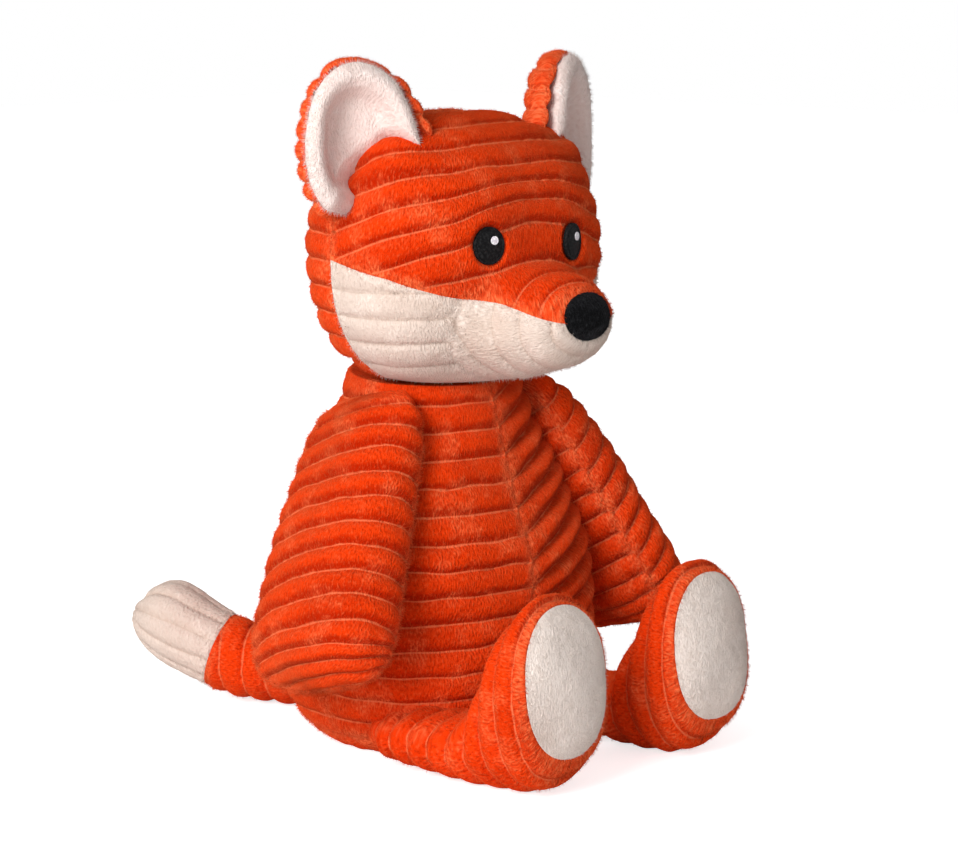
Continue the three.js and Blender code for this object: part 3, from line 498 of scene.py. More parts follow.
def holding(away, far=9 * MM):
    """Share by which cloth is held, from how far it lies off what holds it."""
    return 1 - smoothstep(away, 2 * MM, far)


def settling(skin, held, reach=2 * MM):
    """How far filling moves each place of a body's cloth, by a cloth simulation.

    A coarse copy of the body swells under pressure, where held doesn't keep it, and its even
    growth is taken off. Gives a function from places to moves, each no longer than reach.
    """
    scene = bpy.context.scene
    mesh = bpy.data.meshes.new("Swelling")
    mesh.from_pydata(skin.points.tolist(), [], skin.faces.tolist())
    body = bpy.data.objects.new("Swelling", mesh)
    scene.collection.objects.link(body)
    only(body)
    coarse = body.modifiers.new("Coarse", "REMESH")
    coarse.mode = "VOXEL"
    coarse.voxel_size = COARSE
    bpy.ops.object.modifier_apply(modifier=coarse.name)
    start, faces = mesh_arrays(body.data)
    keep = held(start)
    group = body.vertex_groups.new(name="Held")
    for index, weight in enumerate(keep.tolist()):
        group.add([index], weight, "REPLACE")
    cloth = body.modifiers.new("Cloth", "CLOTH")
    settings = cloth.settings
    settings.quality = 6
    settings.mass = 0.2
    settings.tension_stiffness = 12
    settings.compression_stiffness = 12
    settings.shear_stiffness = 4
    settings.bending_stiffness = 0.4
    settings.vertex_group_mass = group.name
    settings.use_pressure = True
    settings.uniform_pressure_force = 4
    settings.effector_weights.gravity = 0
    cloth.point_cache.frame_start = 1
    cloth.point_cache.frame_end = FRAMES
    for step in range(1, FRAMES + 1):
        scene.frame_set(step)
    bpy.ops.object.modifier_apply(modifier=cloth.name)
    scene.frame_set(1)
    end, _ = mesh_arrays(body.data)
    bpy.data.objects.remove(body)
    normals = corner_normals(start, faces)
    moves = end - start
    growth = np.median((moves * normals).sum(1)[keep < 0.1])
    moves = moves - normals * (growth * (1 - keep))[:, None]
    length = np.linalg.norm(moves, axis=1, keepdims=True)
    moves = moves * np.minimum(1, reach / np.maximum(length, 1e-9))
    return spread(start, moves, COARSE)


def mesh_arrays(mesh):
    """A mesh's points and its faces as triangles."""
    points = np.empty(len(mesh.vertices) * 3)
    mesh.vertices.foreach_get("co", points)
    mesh.calc_loop_triangles()
    faces = np.empty(len(mesh.loop_triangles) * 3, np.int32)
    mesh.loop_triangles.foreach_get("vertices", faces)
    return points.reshape(-1, 3), faces.reshape(-1, 3)


def spread(places, moves, step):
    """A smooth function over space through moves that are known at some places."""
    low = places.min(0) - 5 * step
    size = np.ceil((places.max(0) - low) / step).astype(int) + 6
    steps = np.array([[i, j, k] for i in (0, 1) for j in (0, 1) for k in (0, 1)])

    def corners(points):
        at = (points - low) / step
        first = np.clip(np.floor(at).astype(int), 0, size - 2)
        part = np.clip(at - first, 0, 1)
        for corner in steps:
            weight = np.prod(np.where(corner, part, 1 - part), axis=1)
            yield np.ravel_multi_index((first + corner).T, size), weight

    sums = np.zeros((np.prod(size), 4))
    known = np.concatenate([moves, np.ones((len(moves), 1))], 1)
    for index, weight in corners(places):
        np.add.at(sums, index, known * weight[:, None])
    sums = sums.reshape(*size, 4)
    for _ in range(2):
        for axis in range(3):
            sums = (np.roll(sums, 1, axis) + 2 * sums + np.roll(sums, -1, axis)) / 4
    sums = sums.reshape(-1, 4)

    def move(points):
        total = np.zeros((len(points), 4))
        for index, weight in corners(points):
            total += sums[index] * weight[:, None]
        return total[:, :3] / np.maximum(total[:, 3:], 1e-12)

    return move


def swollen(skin, move):
    """A skin moved as its filling moves it."""
    skin.points = skin.points + move(skin.points)
    skin.fields["normal"] = corner_normals(skin.points, skin.faces)
    return skin


# Cloth: ribs, seams and pile on a panel

def rib_relief(phase, seam, pitch, lobe, flatness):
    """How far each point has sunk from its rib's crest, from 0 to 1.

    phase counts ribs. Towards a seam a rib ends in a round lobe, where lobe is 1.
    """
    from_crest = np.abs(2 * (phase % 1) - 1)
    from_end = lobe * np.clip(1 - seam / (RIB_END_SHARE * pitch), 0, 1)
    near = np.clip((from_crest**3 + from_end**3) ** (1 / 3), 0, 1)
    return 1 - (1 - near**flatness) ** RIB_ROUNDING


def seam_relief(distance, width, depth):
    """Depth to which cloth rolls in towards a seam."""
    near = np.clip(1 - distance / width, 0, 1)
    return -depth * (1 - np.sqrt(np.clip(1 - near**2, 0, 1)))


def closed_inside(points, faces, normals, apex):
    """Adds walls from a panel's edge inwards to one point, which close it."""
    edges = np.concatenate([faces[:, [0, 1]], faces[:, [1, 2]], faces[:, [2, 0]]])
    key = edges[:, 0].astype(np.int64) * (len(points) + 1) + edges[:, 1]
    opposite = edges[:, 1].astype(np.int64) * (len(points) + 1) + edges[:, 0]
    rim = edges[~np.isin(key, opposite)]
    if not len(rim):
        return points, faces
    ends = np.unique(rim)
    tucked = points[ends] - normals[ends] * EDGE_TUCK
    place = np.full(len(points), -1)
    place[ends] = len(points) + np.arange(len(ends))
    a, b = rim.T
    ta, tb = place[a], place[b]
    middle = np.full(len(rim), len(points) + len(ends))
    added = [np.stack([b, a, ta], 1), np.stack([b, ta, tb], 1), np.stack([tb, ta, middle], 1)]
    return (np.concatenate([points, tucked, np.asarray(apex, float)[None]]),
            np.concatenate([faces, *added]))


def pile(points, faces, normals, lay, density, length, width, rng):
    """Fine, closed fibres that stand on a surface and lean along lay."""
    corners = points[faces]
    areas = np.linalg.norm(np.cross(corners[:, 1] - corners[:, 0],
                                    corners[:, 2] - corners[:, 0]), axis=1) / 2
    weight = areas * density[faces].mean(1)
    total = int(weight.sum())
    if not total:
        return np.zeros((0, 3)), np.zeros((0, 3), int), np.zeros(0, int)
    chosen = rng.choice(len(faces), total, p=weight / weight.sum())
    u, v = rng.random((2, total, 1))
    flip = u + v > 1
    u, v = np.where(flip, 1 - u, u), np.where(flip, 1 - v, v)
    a, b, c = (corners[chosen, k] for k in range(3))
    root = a + (b - a) * u + (c - a) * v
    source = faces[chosen, 0]
    out = unit(normals[source] + lay[source] + rng.normal(0, FIBRE_SCATTER, (total, 3)))
    reach = length[source][:, None] * rng.uniform(0.5, 1, (total, 1))
    side = unit(np.cross(out, rng.normal(size=(total, 3))))
    other = np.cross(out, side)
    base = root - out * FIBRE_ROOT
    bend = rng.normal(0, FIBRE_BEND, (total, 3))
    tip = root + (out + bend) * reach
    ring = [base + width * (side * math.cos(q) + other * math.sin(q))
            for q in (0, 2 * math.pi / 3, 4 * math.pi / 3)]
    corner = np.stack([*ring, tip], 1).reshape(-1, 3)
    first = np.arange(total)[:, None] * 4
    shape = np.array([[0, 1, 3], [1, 2, 3], [2, 0, 3], [0, 2, 1]])
    return corner, (first[:, :, None] + shape[None]).reshape(-1, 3), np.repeat(source, 4)


def mesh_object(name, points, faces, values, cloth_map):
    """A smooth-shaded mesh object with named point values and a map along its cloth."""
    mesh = bpy.data.meshes.new(name)
    mesh.vertices.add(len(points))
    mesh.vertices.foreach_set("co", points.astype(np.float32).ravel())
    mesh.loops.add(faces.size)
    mesh.loops.foreach_set("vertex_index", faces.astype(np.int32).ravel())
    mesh.polygons.add(len(faces))
    mesh.polygons.foreach_set("loop_start", np.arange(0, faces.size, 3, dtype=np.int32))
    mesh.polygons.foreach_set("use_smooth", np.ones(len(faces), bool))
    mesh.update(calc_edges=True)
    for label, value in values.items():
        layer = mesh.attributes.new(label, "FLOAT", "POINT")
        layer.data.foreach_set("value", value.astype(np.float32))
    layer = mesh.uv_layers.new(name="Cloth")
    layer.data.foreach_set("uv", cloth_map[faces.ravel()].astype(np.float32).ravel())
    if mesh.validate():
        raise RuntimeError(f"{name} has faulty faces")
    made = bpy.data.objects.new(name, mesh)
    bpy.context.scene.collection.objects.link(made)
    return made


class Cloth:
    """What a panel is made of and how it is finished."""

    def __init__(self, material, slot, depth=1.0, density=1.0, length=1.0, width=1.0, lobe=1.0,
                 flatness=2.3, fill=0.7):
        self.material = material
        self.slot = slot
        self.depth = depth
        self.density = density
        self.length = length
        self.width = width
        self.lobe = lobe
        self.flatness = flatness
        self.fill = fill


def panel(name, skin, phase, along, apex, cloth, body, nodes, press=None, swell=0, fringe=0,
          sweep=0, bald=0):
    """Makes one sewn panel, or a whole cover, from its part of a skin.

    phase counts ribs, or is None on smooth plush; along is the way along a rib, in metres.
    press is a share of flattening and the height that it flattens to. fringe is a share of
    the longer, lighter pile that seams have too, and sweep is how the pile leans. bald is a
    share of places without pile, where the cloth lies against other cloth.
    """
    sizes = bpy.context.scene.fox_sizes
    points, faces, normals = skin.points, skin.faces, skin.fields["normal"]
    seam = skin.fields["seam"]
    seed = sum(map(ord, body)) + sizes.pile_seed
    height = seam_relief(seam, sizes.seam_width, sizes.seam_depth)
    if phase is None:
        groove = np.zeros(len(points))
        phase = points[:, 2] / sizes.rib_pitch
    else:
        phase = phase + waves(points, RIB_WANDER, seed) + waves(points, RIB_WOBBLE, seed)
        groove = rib_relief(phase, seam, sizes.rib_pitch, cloth.lobe, cloth.flatness)
        lift = 1 + waves(points, RIB_UNEVENNESS, seed + 1)
        height = height - sizes.rib_depth * cloth.depth * lift * groove
    off_seam = smoothstep(seam, 0, SEAM_FLAT_WIDTH)
    height = height * off_seam - sizes.seam_depth * (1 - off_seam)
    height = height + waves(points, CLOTH_HILLS, seed + 2) + swell
    height = height + waves(points, CLOTH_GRAIN, seed + 6, 30)
    if press is not None:
        share, level = press
        height = height * (1 - share) + level * share
        groove = groove * (1 - share)
    shaped = points + normals * height[:, None]
    shaped[:, 2] = np.maximum(shaped[:, 2], FLOOR_GAP)
    near_seam = np.maximum(1 - np.clip(seam / SEAM_PILE_WIDTH, 0, 1), fringe)
    surface_normals = corner_normals(shaped, faces)
    # Painted shade and light from the ribs' tilt: under is above 0.5 where the ribbed cloth turns
    # downward from its skin, which is painted darker, and below 0.5 where it turns upward, which is
    # painted lighter
    under = np.clip(0.5 + 0.8 * (normals - surface_normals)[:, 2], 0, 1)
    rng = np.random.default_rng(seed + sum(map(ord, name)))
    swirl = np.stack([waves(points, PILE_SWIRL, seed + k) for k in (3, 4, 5)], 1)
    lay = swirl + sweep - UP * FIBRE_DROOP
    wanted = FIBRES_PER_AREA * cloth.density * (0.8 + 3 * near_seam + 0.5 * groove)
    wanted = wanted * (1 - np.asarray(bald)) * (shaped[:, 2] > FLOOR_BALD_HEIGHT)
    length = sizes.pile_length * cloth.length * (0.62 + 0.33 * near_seam)
    fibre_points, fibre_faces, source = pile(
        shaped, faces, surface_normals, lay, wanted, length, FIBRE_HALF_WIDTH * cloth.width, rng)
    body_points, body_faces = closed_inside(shaped, faces, surface_normals, apex)
    extra = len(body_points) - len(shaped)

    def with_rest(values, inner, on_fibres):
        return np.concatenate([values, np.full((extra,) + values.shape[1:], inner), on_fibres])

    tip = np.tile([0.0, 0.0, 0.0, 1.0], len(source) // 4)
    values = {
        "groove": with_rest(groove, 1.0, groove[source]),
        "near_seam": with_rest(near_seam, 1.0, near_seam[source]),
        # under: share of painted shade (high) or painted light (low) on the ribs' flanks
        "under": with_rest(under, 0.5, under[source]),
        "tip": with_rest(np.zeros(len(shaped)), 0.0, tip),
    }
    flat = np.stack([along / sizes.rib_pitch, phase], 1)
    cloth_map = with_rest(flat, 0.0, flat[source])
    every_point = np.concatenate([body_points, fibre_points])
    every_face = np.concatenate([body_faces, fibre_faces + len(body_points)])
    made = mesh_object(name, every_point, every_face, values, cloth_map)
    made.data.materials.append(cloth.material)
    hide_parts(*nodes)
    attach(made, body)


# Materials

def node_group(name, inputs, outputs):
    """An empty node group with its sockets."""
    group = bpy.data.node_groups.new(name, "ShaderNodeTree")
    for label, kind, value in inputs:
        socket = group.interface.new_socket(label, in_out="INPUT", socket_type=kind)
        socket.default_value = value
    for label, kind in outputs:
        group.interface.new_socket(label, in_out="OUTPUT", socket_type=kind)
    return group


def add(tree, kind, **settings):
    node = tree.nodes.new(kind)
    for label, value in settings.items():
        setattr(node, label, value)
    return node


def wire(tree, value, socket):
    """Sets a socket to a number or colour, or links it to another socket."""
    if isinstance(value, bpy.types.NodeSocket):
        tree.links.new(value, socket)
    else:
        socket.default_value = value


def reckon(tree, operation, *values, clamp=False):
    """The result of a math node on numbers or sockets."""
    node = add(tree, "ShaderNodeMath", operation=operation, use_clamp=clamp)
    for socket, value in zip(node.inputs, values):
        wire(tree, value, socket)
    return node.outputs[0]


def blend_colours(tree, share, first, second):
    node = add(tree, "ShaderNodeMix", data_type="RGBA")
    wire(tree, share, node.inputs["Factor"])
    wire(tree, first, node.inputs["A"])
    wire(tree, second, node.inputs["B"])
    return node.outputs["Result"]


def between(tree, value, low, high):
    """0 where value is low, 1 where it is high, smooth between."""
    node = add(tree, "ShaderNodeMapRange", interpolation_type="SMOOTHSTEP")
    for label, number in (("Value", value), ("From Min", low), ("From Max", high)):
        wire(tree, number, node.inputs[label])
    return node.outputs["Result"]


def attribute(tree, label):
    return add(tree, "ShaderNodeAttribute", attribute_name=label).outputs["Fac"]


def noise(tree, place, scale, detail):
    node = add(tree, "ShaderNodeTexNoise")
    wire(tree, place, node.inputs["Vector"])
    wire(tree, scale, node.inputs["Scale"])
    wire(tree, detail, node.inputs["Detail"])
    return node.outputs["Fac"]


PILE_RELIEF = 1.1 * MM
STITCH_RELIEF = 0.3 * MM
PILE_COLOURS = ("Base", "Deep", "Light", "Line")
# Shares: brushed patches, seam fuzz, painted shade on downward rib flanks, and grain
PILE_SHARES = ("Patches", "Fuzz", "Painted shade", "Grain")


def opaque(colour):
    return (*colour, 1.0)


def pile_effect():
    """Node group: short ribbed pile, with fine rows of fibre, brushed patches, painted shade on
    the downward flank of each rib and painted light on its upward flank, and a thin line of
    parted pile in each groove."""
    inputs = [(label, "NodeSocketColor", opaque((0.5, 0.5, 0.5))) for label in PILE_COLOURS]
    inputs += [(label, "NodeSocketFloat", 0.5) for label in PILE_SHARES]
    tree = node_group("Pile", inputs, [("Color", "NodeSocketColor"),
                                       ("Height", "NodeSocketFloat")])
    given = add(tree, "NodeGroupInput").outputs
    cloth = add(tree, "ShaderNodeUVMap", uv_map="Cloth").outputs["UV"]
    place = add(tree, "ShaderNodeTexCoord").outputs["Object"]
    groove, seam, under, tip = (attribute(tree, label)
                                for label in ("groove", "near_seam", "under", "tip"))

    def times(*values):
        return reckon(tree, "MULTIPLY", *values)

    def plus(value, factor, other, clamp=False):
        return reckon(tree, "MULTIPLY_ADD", value, factor, other, clamp=clamp)

    def ramp(*values):
        return between(tree, *values)

    ribs = add(tree, "ShaderNodeSeparateXYZ")
    wire(tree, cloth, ribs.inputs["Vector"])
    turn = reckon(tree, "FRACT", ribs.outputs["Y"])
    from_crest = reckon(tree, "ABSOLUTE", reckon(tree, "SUBTRACT", turn, 0.5))
    from_groove = reckon(tree, "SUBTRACT", 0.5, from_crest)
    stretch = add(tree, "ShaderNodeMapping")
    wire(tree, cloth, stretch.inputs["Vector"])
    stretch.inputs["Scale"].default_value = (1, 0.45, 1)
    rows = noise(tree, stretch.outputs["Vector"], 13.0, 2.0)
    tufts = noise(tree, place, 900.0, 2.0)
    clumps = noise(tree, place, 230.0, 3.0)
    patches = noise(tree, place, 75.0, 3.0)
    broad = noise(tree, place, 24.0, 2.0)

    line = times(ramp(plus(clumps, 0.08, from_groove), 0.1, 0.045), ramp(groove, 0.3, 0.55))
    # Painted shade on each rib's downward flank, weaker near seams, and painted light on its upward
    # flank
    lower = reckon(tree, "SUBTRACT", ramp(under, 0.5, 0.85), ramp(seam, 0.4, 1.0), clamp=True)
    painted_light_above = ramp(under, 0.5, 0.2)
    body = blend_colours(tree, times(lower, given["Painted shade"]), given["Base"], given["Deep"])
    body = blend_colours(tree, times(ramp(broad, 0.52, 0.3), 0.45), body, given["Deep"])
    stipple = times(ramp(rows, 0.5, 0.3), given["Grain"])
    body = blend_colours(tree, stipple, body, given["Deep"])

    # Light share: random brushed patches, plus a little painted light on upward rib flanks
    brushed = plus(painted_light_above, 0.12, times(ramp(patches, 0.5, 0.68), given["Patches"]))
    tufted = plus(ramp(clumps, 0.35, 0.6), 0.6, 0.4)
    fuzz = times(times(ramp(seam, 0.25, 0.95), given["Fuzz"]), tufted)
    fine = plus(ramp(rows, 0.4, 0.65), 0.75, 0.25)
    light_share = times(reckon(tree, "ADD", brushed, fuzz), fine)
    tips = times(ramp(rows, 0.52, 0.7), given["Grain"])
    light_share = plus(tips, 0.5, light_share, clamp=True)
    body = blend_colours(tree, light_share, body, given["Light"])
    body = blend_colours(tree, times(line, 0.6), body, given["Line"])
    body = blend_colours(tree, times(tip, 0.6), body, given["Light"])
    relief = plus(clumps, 0.3, plus(tufts, 0.4, rows))
    result = add(tree, "NodeGroupOutput").inputs
    wire(tree, body, result["Color"])
    wire(tree, relief, result["Height"])


def plush(name, colours, shares, sheen, sheen_tint, bump, shine=0.0):
    """A plush material that places the pile effect with its own colours and shares."""
    material = bpy.data.materials.new(name)
    material.use_nodes = True
    tree = material.node_tree
    shader = tree.nodes["Principled BSDF"]
    effect = add(tree, "ShaderNodeGroup", node_tree=bpy.data.node_groups["Pile"])
    for label, value in zip(PILE_COLOURS, colours):
        effect.inputs[label].default_value = opaque(value)
    for label, value in zip(PILE_SHARES, shares):
        effect.inputs[label].default_value = value
    relief = add(tree, "ShaderNodeBump")
    relief.inputs["Strength"].default_value = bump
    relief.inputs["Distance"].default_value = PILE_RELIEF
    wire(tree, effect.outputs["Height"], relief.inputs["Height"])
    wire(tree, effect.outputs["Color"], shader.inputs["Base Color"])
    wire(tree, relief.outputs["Normal"], shader.inputs["Normal"])
    shader.inputs["Roughness"].default_value = 1.0
    shader.inputs["Specular IOR Level"].default_value = shine
    shader.inputs["Sheen Weight"].default_value = sheen
    shader.inputs["Sheen Roughness"].default_value = 0.35
    shader.inputs["Sheen Tint"].default_value = opaque(sheen_tint)


def thread(name, colour, roughness):
    """Embroidery thread: fine parallel stitches."""
    material = bpy.data.materials.new(name)
    material.use_nodes = True
    tree = material.node_tree
    shader = tree.nodes["Principled BSDF"]
    place = add(tree, "ShaderNodeTexCoord").outputs["Object"]
    stitches = add(tree, "ShaderNodeTexWave", wave_type="BANDS", bands_direction="DIAGONAL")
    wire(tree, place, stitches.inputs["Vector"])
    stitches.inputs["Scale"].default_value = 420.0
    stitches.inputs["Distortion"].default_value = 3.0
    grain = noise(tree, place, 900.0, 2.0)
    height = reckon(tree, "MULTIPLY_ADD", stitches.outputs["Fac"], 0.7, grain)
    relief = add(tree, "ShaderNodeBump")
    relief.inputs["Strength"].default_value = 0.5
    relief.inputs["Distance"].default_value = STITCH_RELIEF
    wire(tree, height, relief.inputs["Height"])
    lighter = tuple(min(1.0, c * 1.6 + 0.012) for c in colour)
    wire(tree, blend_colours(tree, between(tree, grain, 0.4, 0.7), opaque(colour),
                             opaque(lighter)), shader.inputs["Base Color"])
    wire(tree, relief.outputs["Normal"], shader.inputs["Normal"])
    shader.inputs["Roughness"].default_value = roughness
    shader.inputs["Specular IOR Level"].default_value = 0.12


def cloths():
    """The plush cloths of the fox, made once."""
    found = bpy.data.materials.get
    return {
        "orange": Cloth(found("Orange pile"), "orange_plush"),
        "torso": Cloth(found("Orange pile"), "orange_plush", depth=TORSO_RIB_DEPTH, lobe=0.7),
        "chest": Cloth(found("Orange pile"), "orange_plush", lobe=0.7, flatness=1.8),
        "seat": Cloth(found("Orange pile"), "orange_plush", depth=0.4, density=0.4),
        "brow": Cloth(found("Orange pile"), "orange_plush", depth=0.85, lobe=0.6),
        "cream": Cloth(found("Cream pile"), "cream_plush", depth=0.65, density=0.7, lobe=0.55),
        "edge": Cloth(found("Orange pile"), "orange_plush", length=0.6),
        "arm": Cloth(found("Orange pile"), "orange_plush", lobe=0.6, flatness=1.9),
        "leg": Cloth(found("Orange pile"), "orange_plush", depth=1.2, lobe=0.7, flatness=1.5),
        "smooth": Cloth(found("Smooth pile"), "smooth_plush", density=1.6, length=0.7,
                        width=0.8),
        "fluffy": Cloth(found("Lining pile"), "smooth_plush", density=1.6, length=1.1,
                        width=0.6),
        "black": Cloth(found("Black pile"), "black_plush", density=2, length=0.7),
    }


# Torso

def torso_place(angle, height):
    """A place on the torso's side, by its angle and height."""
    share = height / TORSO_HEIGHT
    x, y = section(angle, TORSO_HALF_WIDTH * follow(TORSO_SHARES, share, 1),
                   TORSO_HALF_DEPTH * follow(TORSO_SHARES, share, 2), TORSO_SQUARE)
    return np.stack([x, y - TORSO_FORWARD, np.broadcast_to(height, x.shape)], -1)


def even_angles(curve_of, count):
    """Angles at which the points of an outline are evenly spaced."""
    angles = np.linspace(0, 2 * math.pi, 1441)
    outline = curve_of(angles)
    lengths = np.concatenate([[0], np.cumsum(np.linalg.norm(np.diff(outline, axis=0), axis=1))])
    return np.interp(np.linspace(0, lengths[-1], count + 1)[:-1], lengths, angles)


def collar(points):
    """Room over the torso's top, under the head in all its turns."""
    room = np.full(len(points), NECK_RISE)
    for turn in NECK_TURNS:
        q = points[:, :2] - NECK_PIVOT
        x = q[:, 0] * math.cos(turn) - q[:, 1] * math.sin(turn) + NECK_PIVOT[0]
        y = q[:, 0] * math.sin(turn) + q[:, 1] * math.cos(turn) + NECK_PIVOT[1]
        start = np.stack([x, y, np.full(len(x), HEAD_MIDDLE[2])], 1)
        under = HEAD_MIDDLE[2] - head_reach(start, np.tile(-UP, (len(x), 1)))
        room = np.minimum(room, under - TORSO_HEIGHT - NECK_GAP)
    return np.clip(room, 0, NECK_RISE)


def torso_skin(rise=0):
    """The torso's skin, with its rows along ribs that rise to the left by that slope."""
    widest = TORSO_WIDEST_SHARE * TORSO_HEIGHT
    round_it = math.pi * (TORSO_HALF_WIDTH + TORSO_HALF_DEPTH)
    angles = even_angles(lambda a: torso_place(a, widest), int(round_it / CLOTH_STEP))
    step = bpy.context.scene.fox_sizes.rib_pitch / ROWS_PER_RIB
    rows = np.arange(-math.ceil(rise * TORSO_HALF_WIDTH / step) * step, TORSO_HEIGHT, step)
    heights = np.repeat(rows[:, None], len(angles), 1)
    for _ in range(8):
        x = torso_place(angles[None], np.clip(heights, 0, TORSO_HEIGHT))[..., 0]
        heights = rows[:, None] + rise * np.maximum(x, 0)
    wall = torso_place(angles[None], np.clip(heights, 0, TORSO_HEIGHT))
    closing = np.linspace(0.02, 1, 20)[:-1, None, None]
    middle = np.array([0, -TORSO_FORWARD, 0])
    bottom = middle + (wall[:1] - middle) * closing
    high = middle + UP * TORSO_HEIGHT
    share = 1 - 0.98 * np.linspace(0, 1, 41)[1:, None] ** 1.6
    top = high + (wall[-1:] - high) * share[..., None]
    inset = np.linalg.norm(wall[-1:] - high, axis=2) * (1 - share)
    rounded = NECK_RISE * np.sqrt(1 - (1 - np.clip(inset / NECK_ROUNDING, 0, 1)) ** 2)
    room = collar(top.reshape(-1, 3)).reshape(inset.shape)
    top[..., 2] += soft_least(rounded, room, NECK_BLEND)
    skin = loft(np.concatenate([bottom, wall, top]))
    rings = np.concatenate([np.zeros((len(bottom) + len(wall), len(angles))), inset])
    skin.fields["inset"] = np.concatenate([rings.ravel(), [0, inset.max()]])
    return skin


def round_angle(points, centre=(0, 0, 0)):
    """The angle round an upright line, from the front."""
    return np.arctan2(points[:, 0] - centre[0], centre[1] - points[:, 1])


def build_torso():
    pitch = bpy.context.scene.fox_sizes.rib_pitch
    kinds = cloths()
    middle_y = -TORSO_FORWARD

    def held(points):
        side = np.abs(points[:, 1] - middle_y)
        end = np.minimum(points[:, 2], TORSO_HEIGHT - points[:, 2])
        return holding(np.minimum(side, end))

    skin = torso_skin()
    move = settling(skin, held)
    skin = swollen(skin, move)
    for name, side in SIDES.items():
        for place, way in (("front", -1), ("back", 1)):
            rise = CHEST_RISE_SHARE if (name, place) == ("left", "front") else 0
            part = swollen(torso_skin(rise), move) if rise else skin
            part = part.cut(side * part.points[:, 0])
            part = part.cut(way * (part.points[:, 1] - middle_y))
            part = part.cut(part.points[:, 2] - SEAT_SEAM_HEIGHT)
            apex = (side * 20 * MM, way * 18 * MM + middle_y, 75 * MM)
            cloth = kinds["torso"]
            if rise:
                cloth = kinds["chest"]
                extra = smoothstep(part.points[:, 0], *CHEST_DEEPENING) * smoothstep(
                    part.points[:, 2], SEAT_SEAM_HEIGHT, SEAT_SEAM_HEIGHT + CHEST_FADE)
                cloth.depth = TORSO_RIB_DEPTH + CHEST_EXTRA_DEPTH * extra
            inset = part.fields["inset"]
            top = smoothstep(part.points[:, 2] + inset - TORSO_HEIGHT, *NECK_FLATTENING)
            height = part.points[:, 2] + NECK_RIB_SHARE * inset - TORSO_HEIGHT - TORSO_RIBS_DOWN
            phase = (height - rise * part.points[:, 0]) / pitch
            panel(f"torso_{place}_{name}_cover", part, phase,
                  round_angle(part.points) * TORSO_HALF_WIDTH, apex, cloth, "torso",
                  [f"torso_{place}_{name}"], press=(top, 0),
                  bald=smoothstep(inset, *NECK_BALD))
    seat = skin.cut(SEAT_SEAM_HEIGHT - skin.points[:, 2])
    panel("seat_base_cover", seat, seat.points[:, 1] / pitch, seat.points[:, 0],
          (0, middle_y, 40 * MM), kinds["seat"], "torso",
          ["seat_base", "torso_filling", "seat_bead_bag"])


# Head

def head_distance(points):
    """About how far a point lies outside the head and muzzle, below 0 inside."""
    q = points - HEAD_MIDDLE
    across = ((np.abs(q[..., 0]) / HEAD_HALF_WIDTH) ** HEAD_SQUARE
              + (np.abs(q[..., 1]) / HEAD_HALF_DEPTH) ** HEAD_SQUARE)
    square = np.where(q[..., 2] > 0, HEAD_TOP_SQUARE, HEAD_BASE_SQUARE)
    upward = (np.abs(q[..., 2]) / HEAD_HALF_HEIGHT) ** square
    skull = ((across ** (square / HEAD_SQUARE) + upward) ** (1 / square) - 1) * HEAD_HALF_DEPTH
    share = -q[..., 1] / MUZZLE_REACH
    wide = MUZZLE_HALF_WIDTH * follow(MUZZLE_SHARES, share, 1)
    tall = MUZZLE_HALF_HEIGHT * follow(MUZZLE_SHARES, share, 2)
    out = np.hypot(q[..., 0] / wide, (q[..., 2] + MUZZLE_DROP) / tall)
    snout = np.maximum((out - 1) * np.minimum(wide, tall),
                       np.maximum(share - 1, -share) * MUZZLE_REACH)
    whole = soft_least(skull, snout, MUZZLE_BLEND)
    flat = HEAD_BASE - points[..., 2]
    return -soft_least(-whole, -flat, BASE_ROUNDING)


def head_reach(origin, directions):
    """How far it is from a place inside the head to its surface, along each direction."""
    near = np.zeros(directions.shape[:-1])
    far = np.full(directions.shape[:-1], HEAD_SEARCH_REACH)
    for _ in range(HEAD_SEARCH_STEPS):
        middle = (near + far) / 2
        outside = head_distance(origin + directions * middle[..., None]) > 0
        far = np.where(outside, middle, far)
        near = np.where(outside, near, middle)
    return near


def head_skin():
    """The head's skin, in rings from the muzzle's tip to the back of the head."""
    def ways(polar, turn):
        return np.stack([np.sin(polar) * np.cos(turn), -np.cos(polar) + 0 * turn,
                         np.sin(polar) * np.sin(turn)], -1)

    def places(polar, turn):
        directions = ways(polar, turn)
        return HEAD_HEART + directions * head_reach(HEAD_HEART, directions)[..., None]

    samples, lines = 300, 8
    polar = np.linspace(0, math.pi, samples)
    total = np.zeros(samples)
    for turn in np.linspace(0, 2 * math.pi, lines, endpoint=False):
        line = places(polar, np.full(samples, turn))
        total += np.concatenate([[0], np.cumsum(np.linalg.norm(np.diff(line, axis=0), axis=1))])
    total /= lines
    count = int(total[-1] / CLOTH_STEP)
    rows = np.interp(np.linspace(0, total[-1], count)[1:-1], total, polar)
    columns = int(2 * math.pi * HEAD_MEAN_RADIUS / CLOTH_STEP)
    turns = np.linspace(0, 2 * math.pi, columns, endpoint=False)
    return loft(places(rows[:, None], turns[None]))


def head_y(forward):
    return HEAD_MIDDLE[1] - HEAD_HALF_DEPTH * forward


def head_z(upward):
    return HEAD_MIDDLE[2] + HEAD_HALF_HEIGHT * upward


def over_cheek_seam(points):
    """How far points lie above the seam between brow and cheek."""
    seam = np.array([(head_y(f), head_z(u)) for f, u in CHEEK_SEAM_SHARES])[::-1]
    slope = 0.94
    return (points[:, 2] - np.interp(points[:, 1], seam[:, 0], seam[:, 1])) * slope


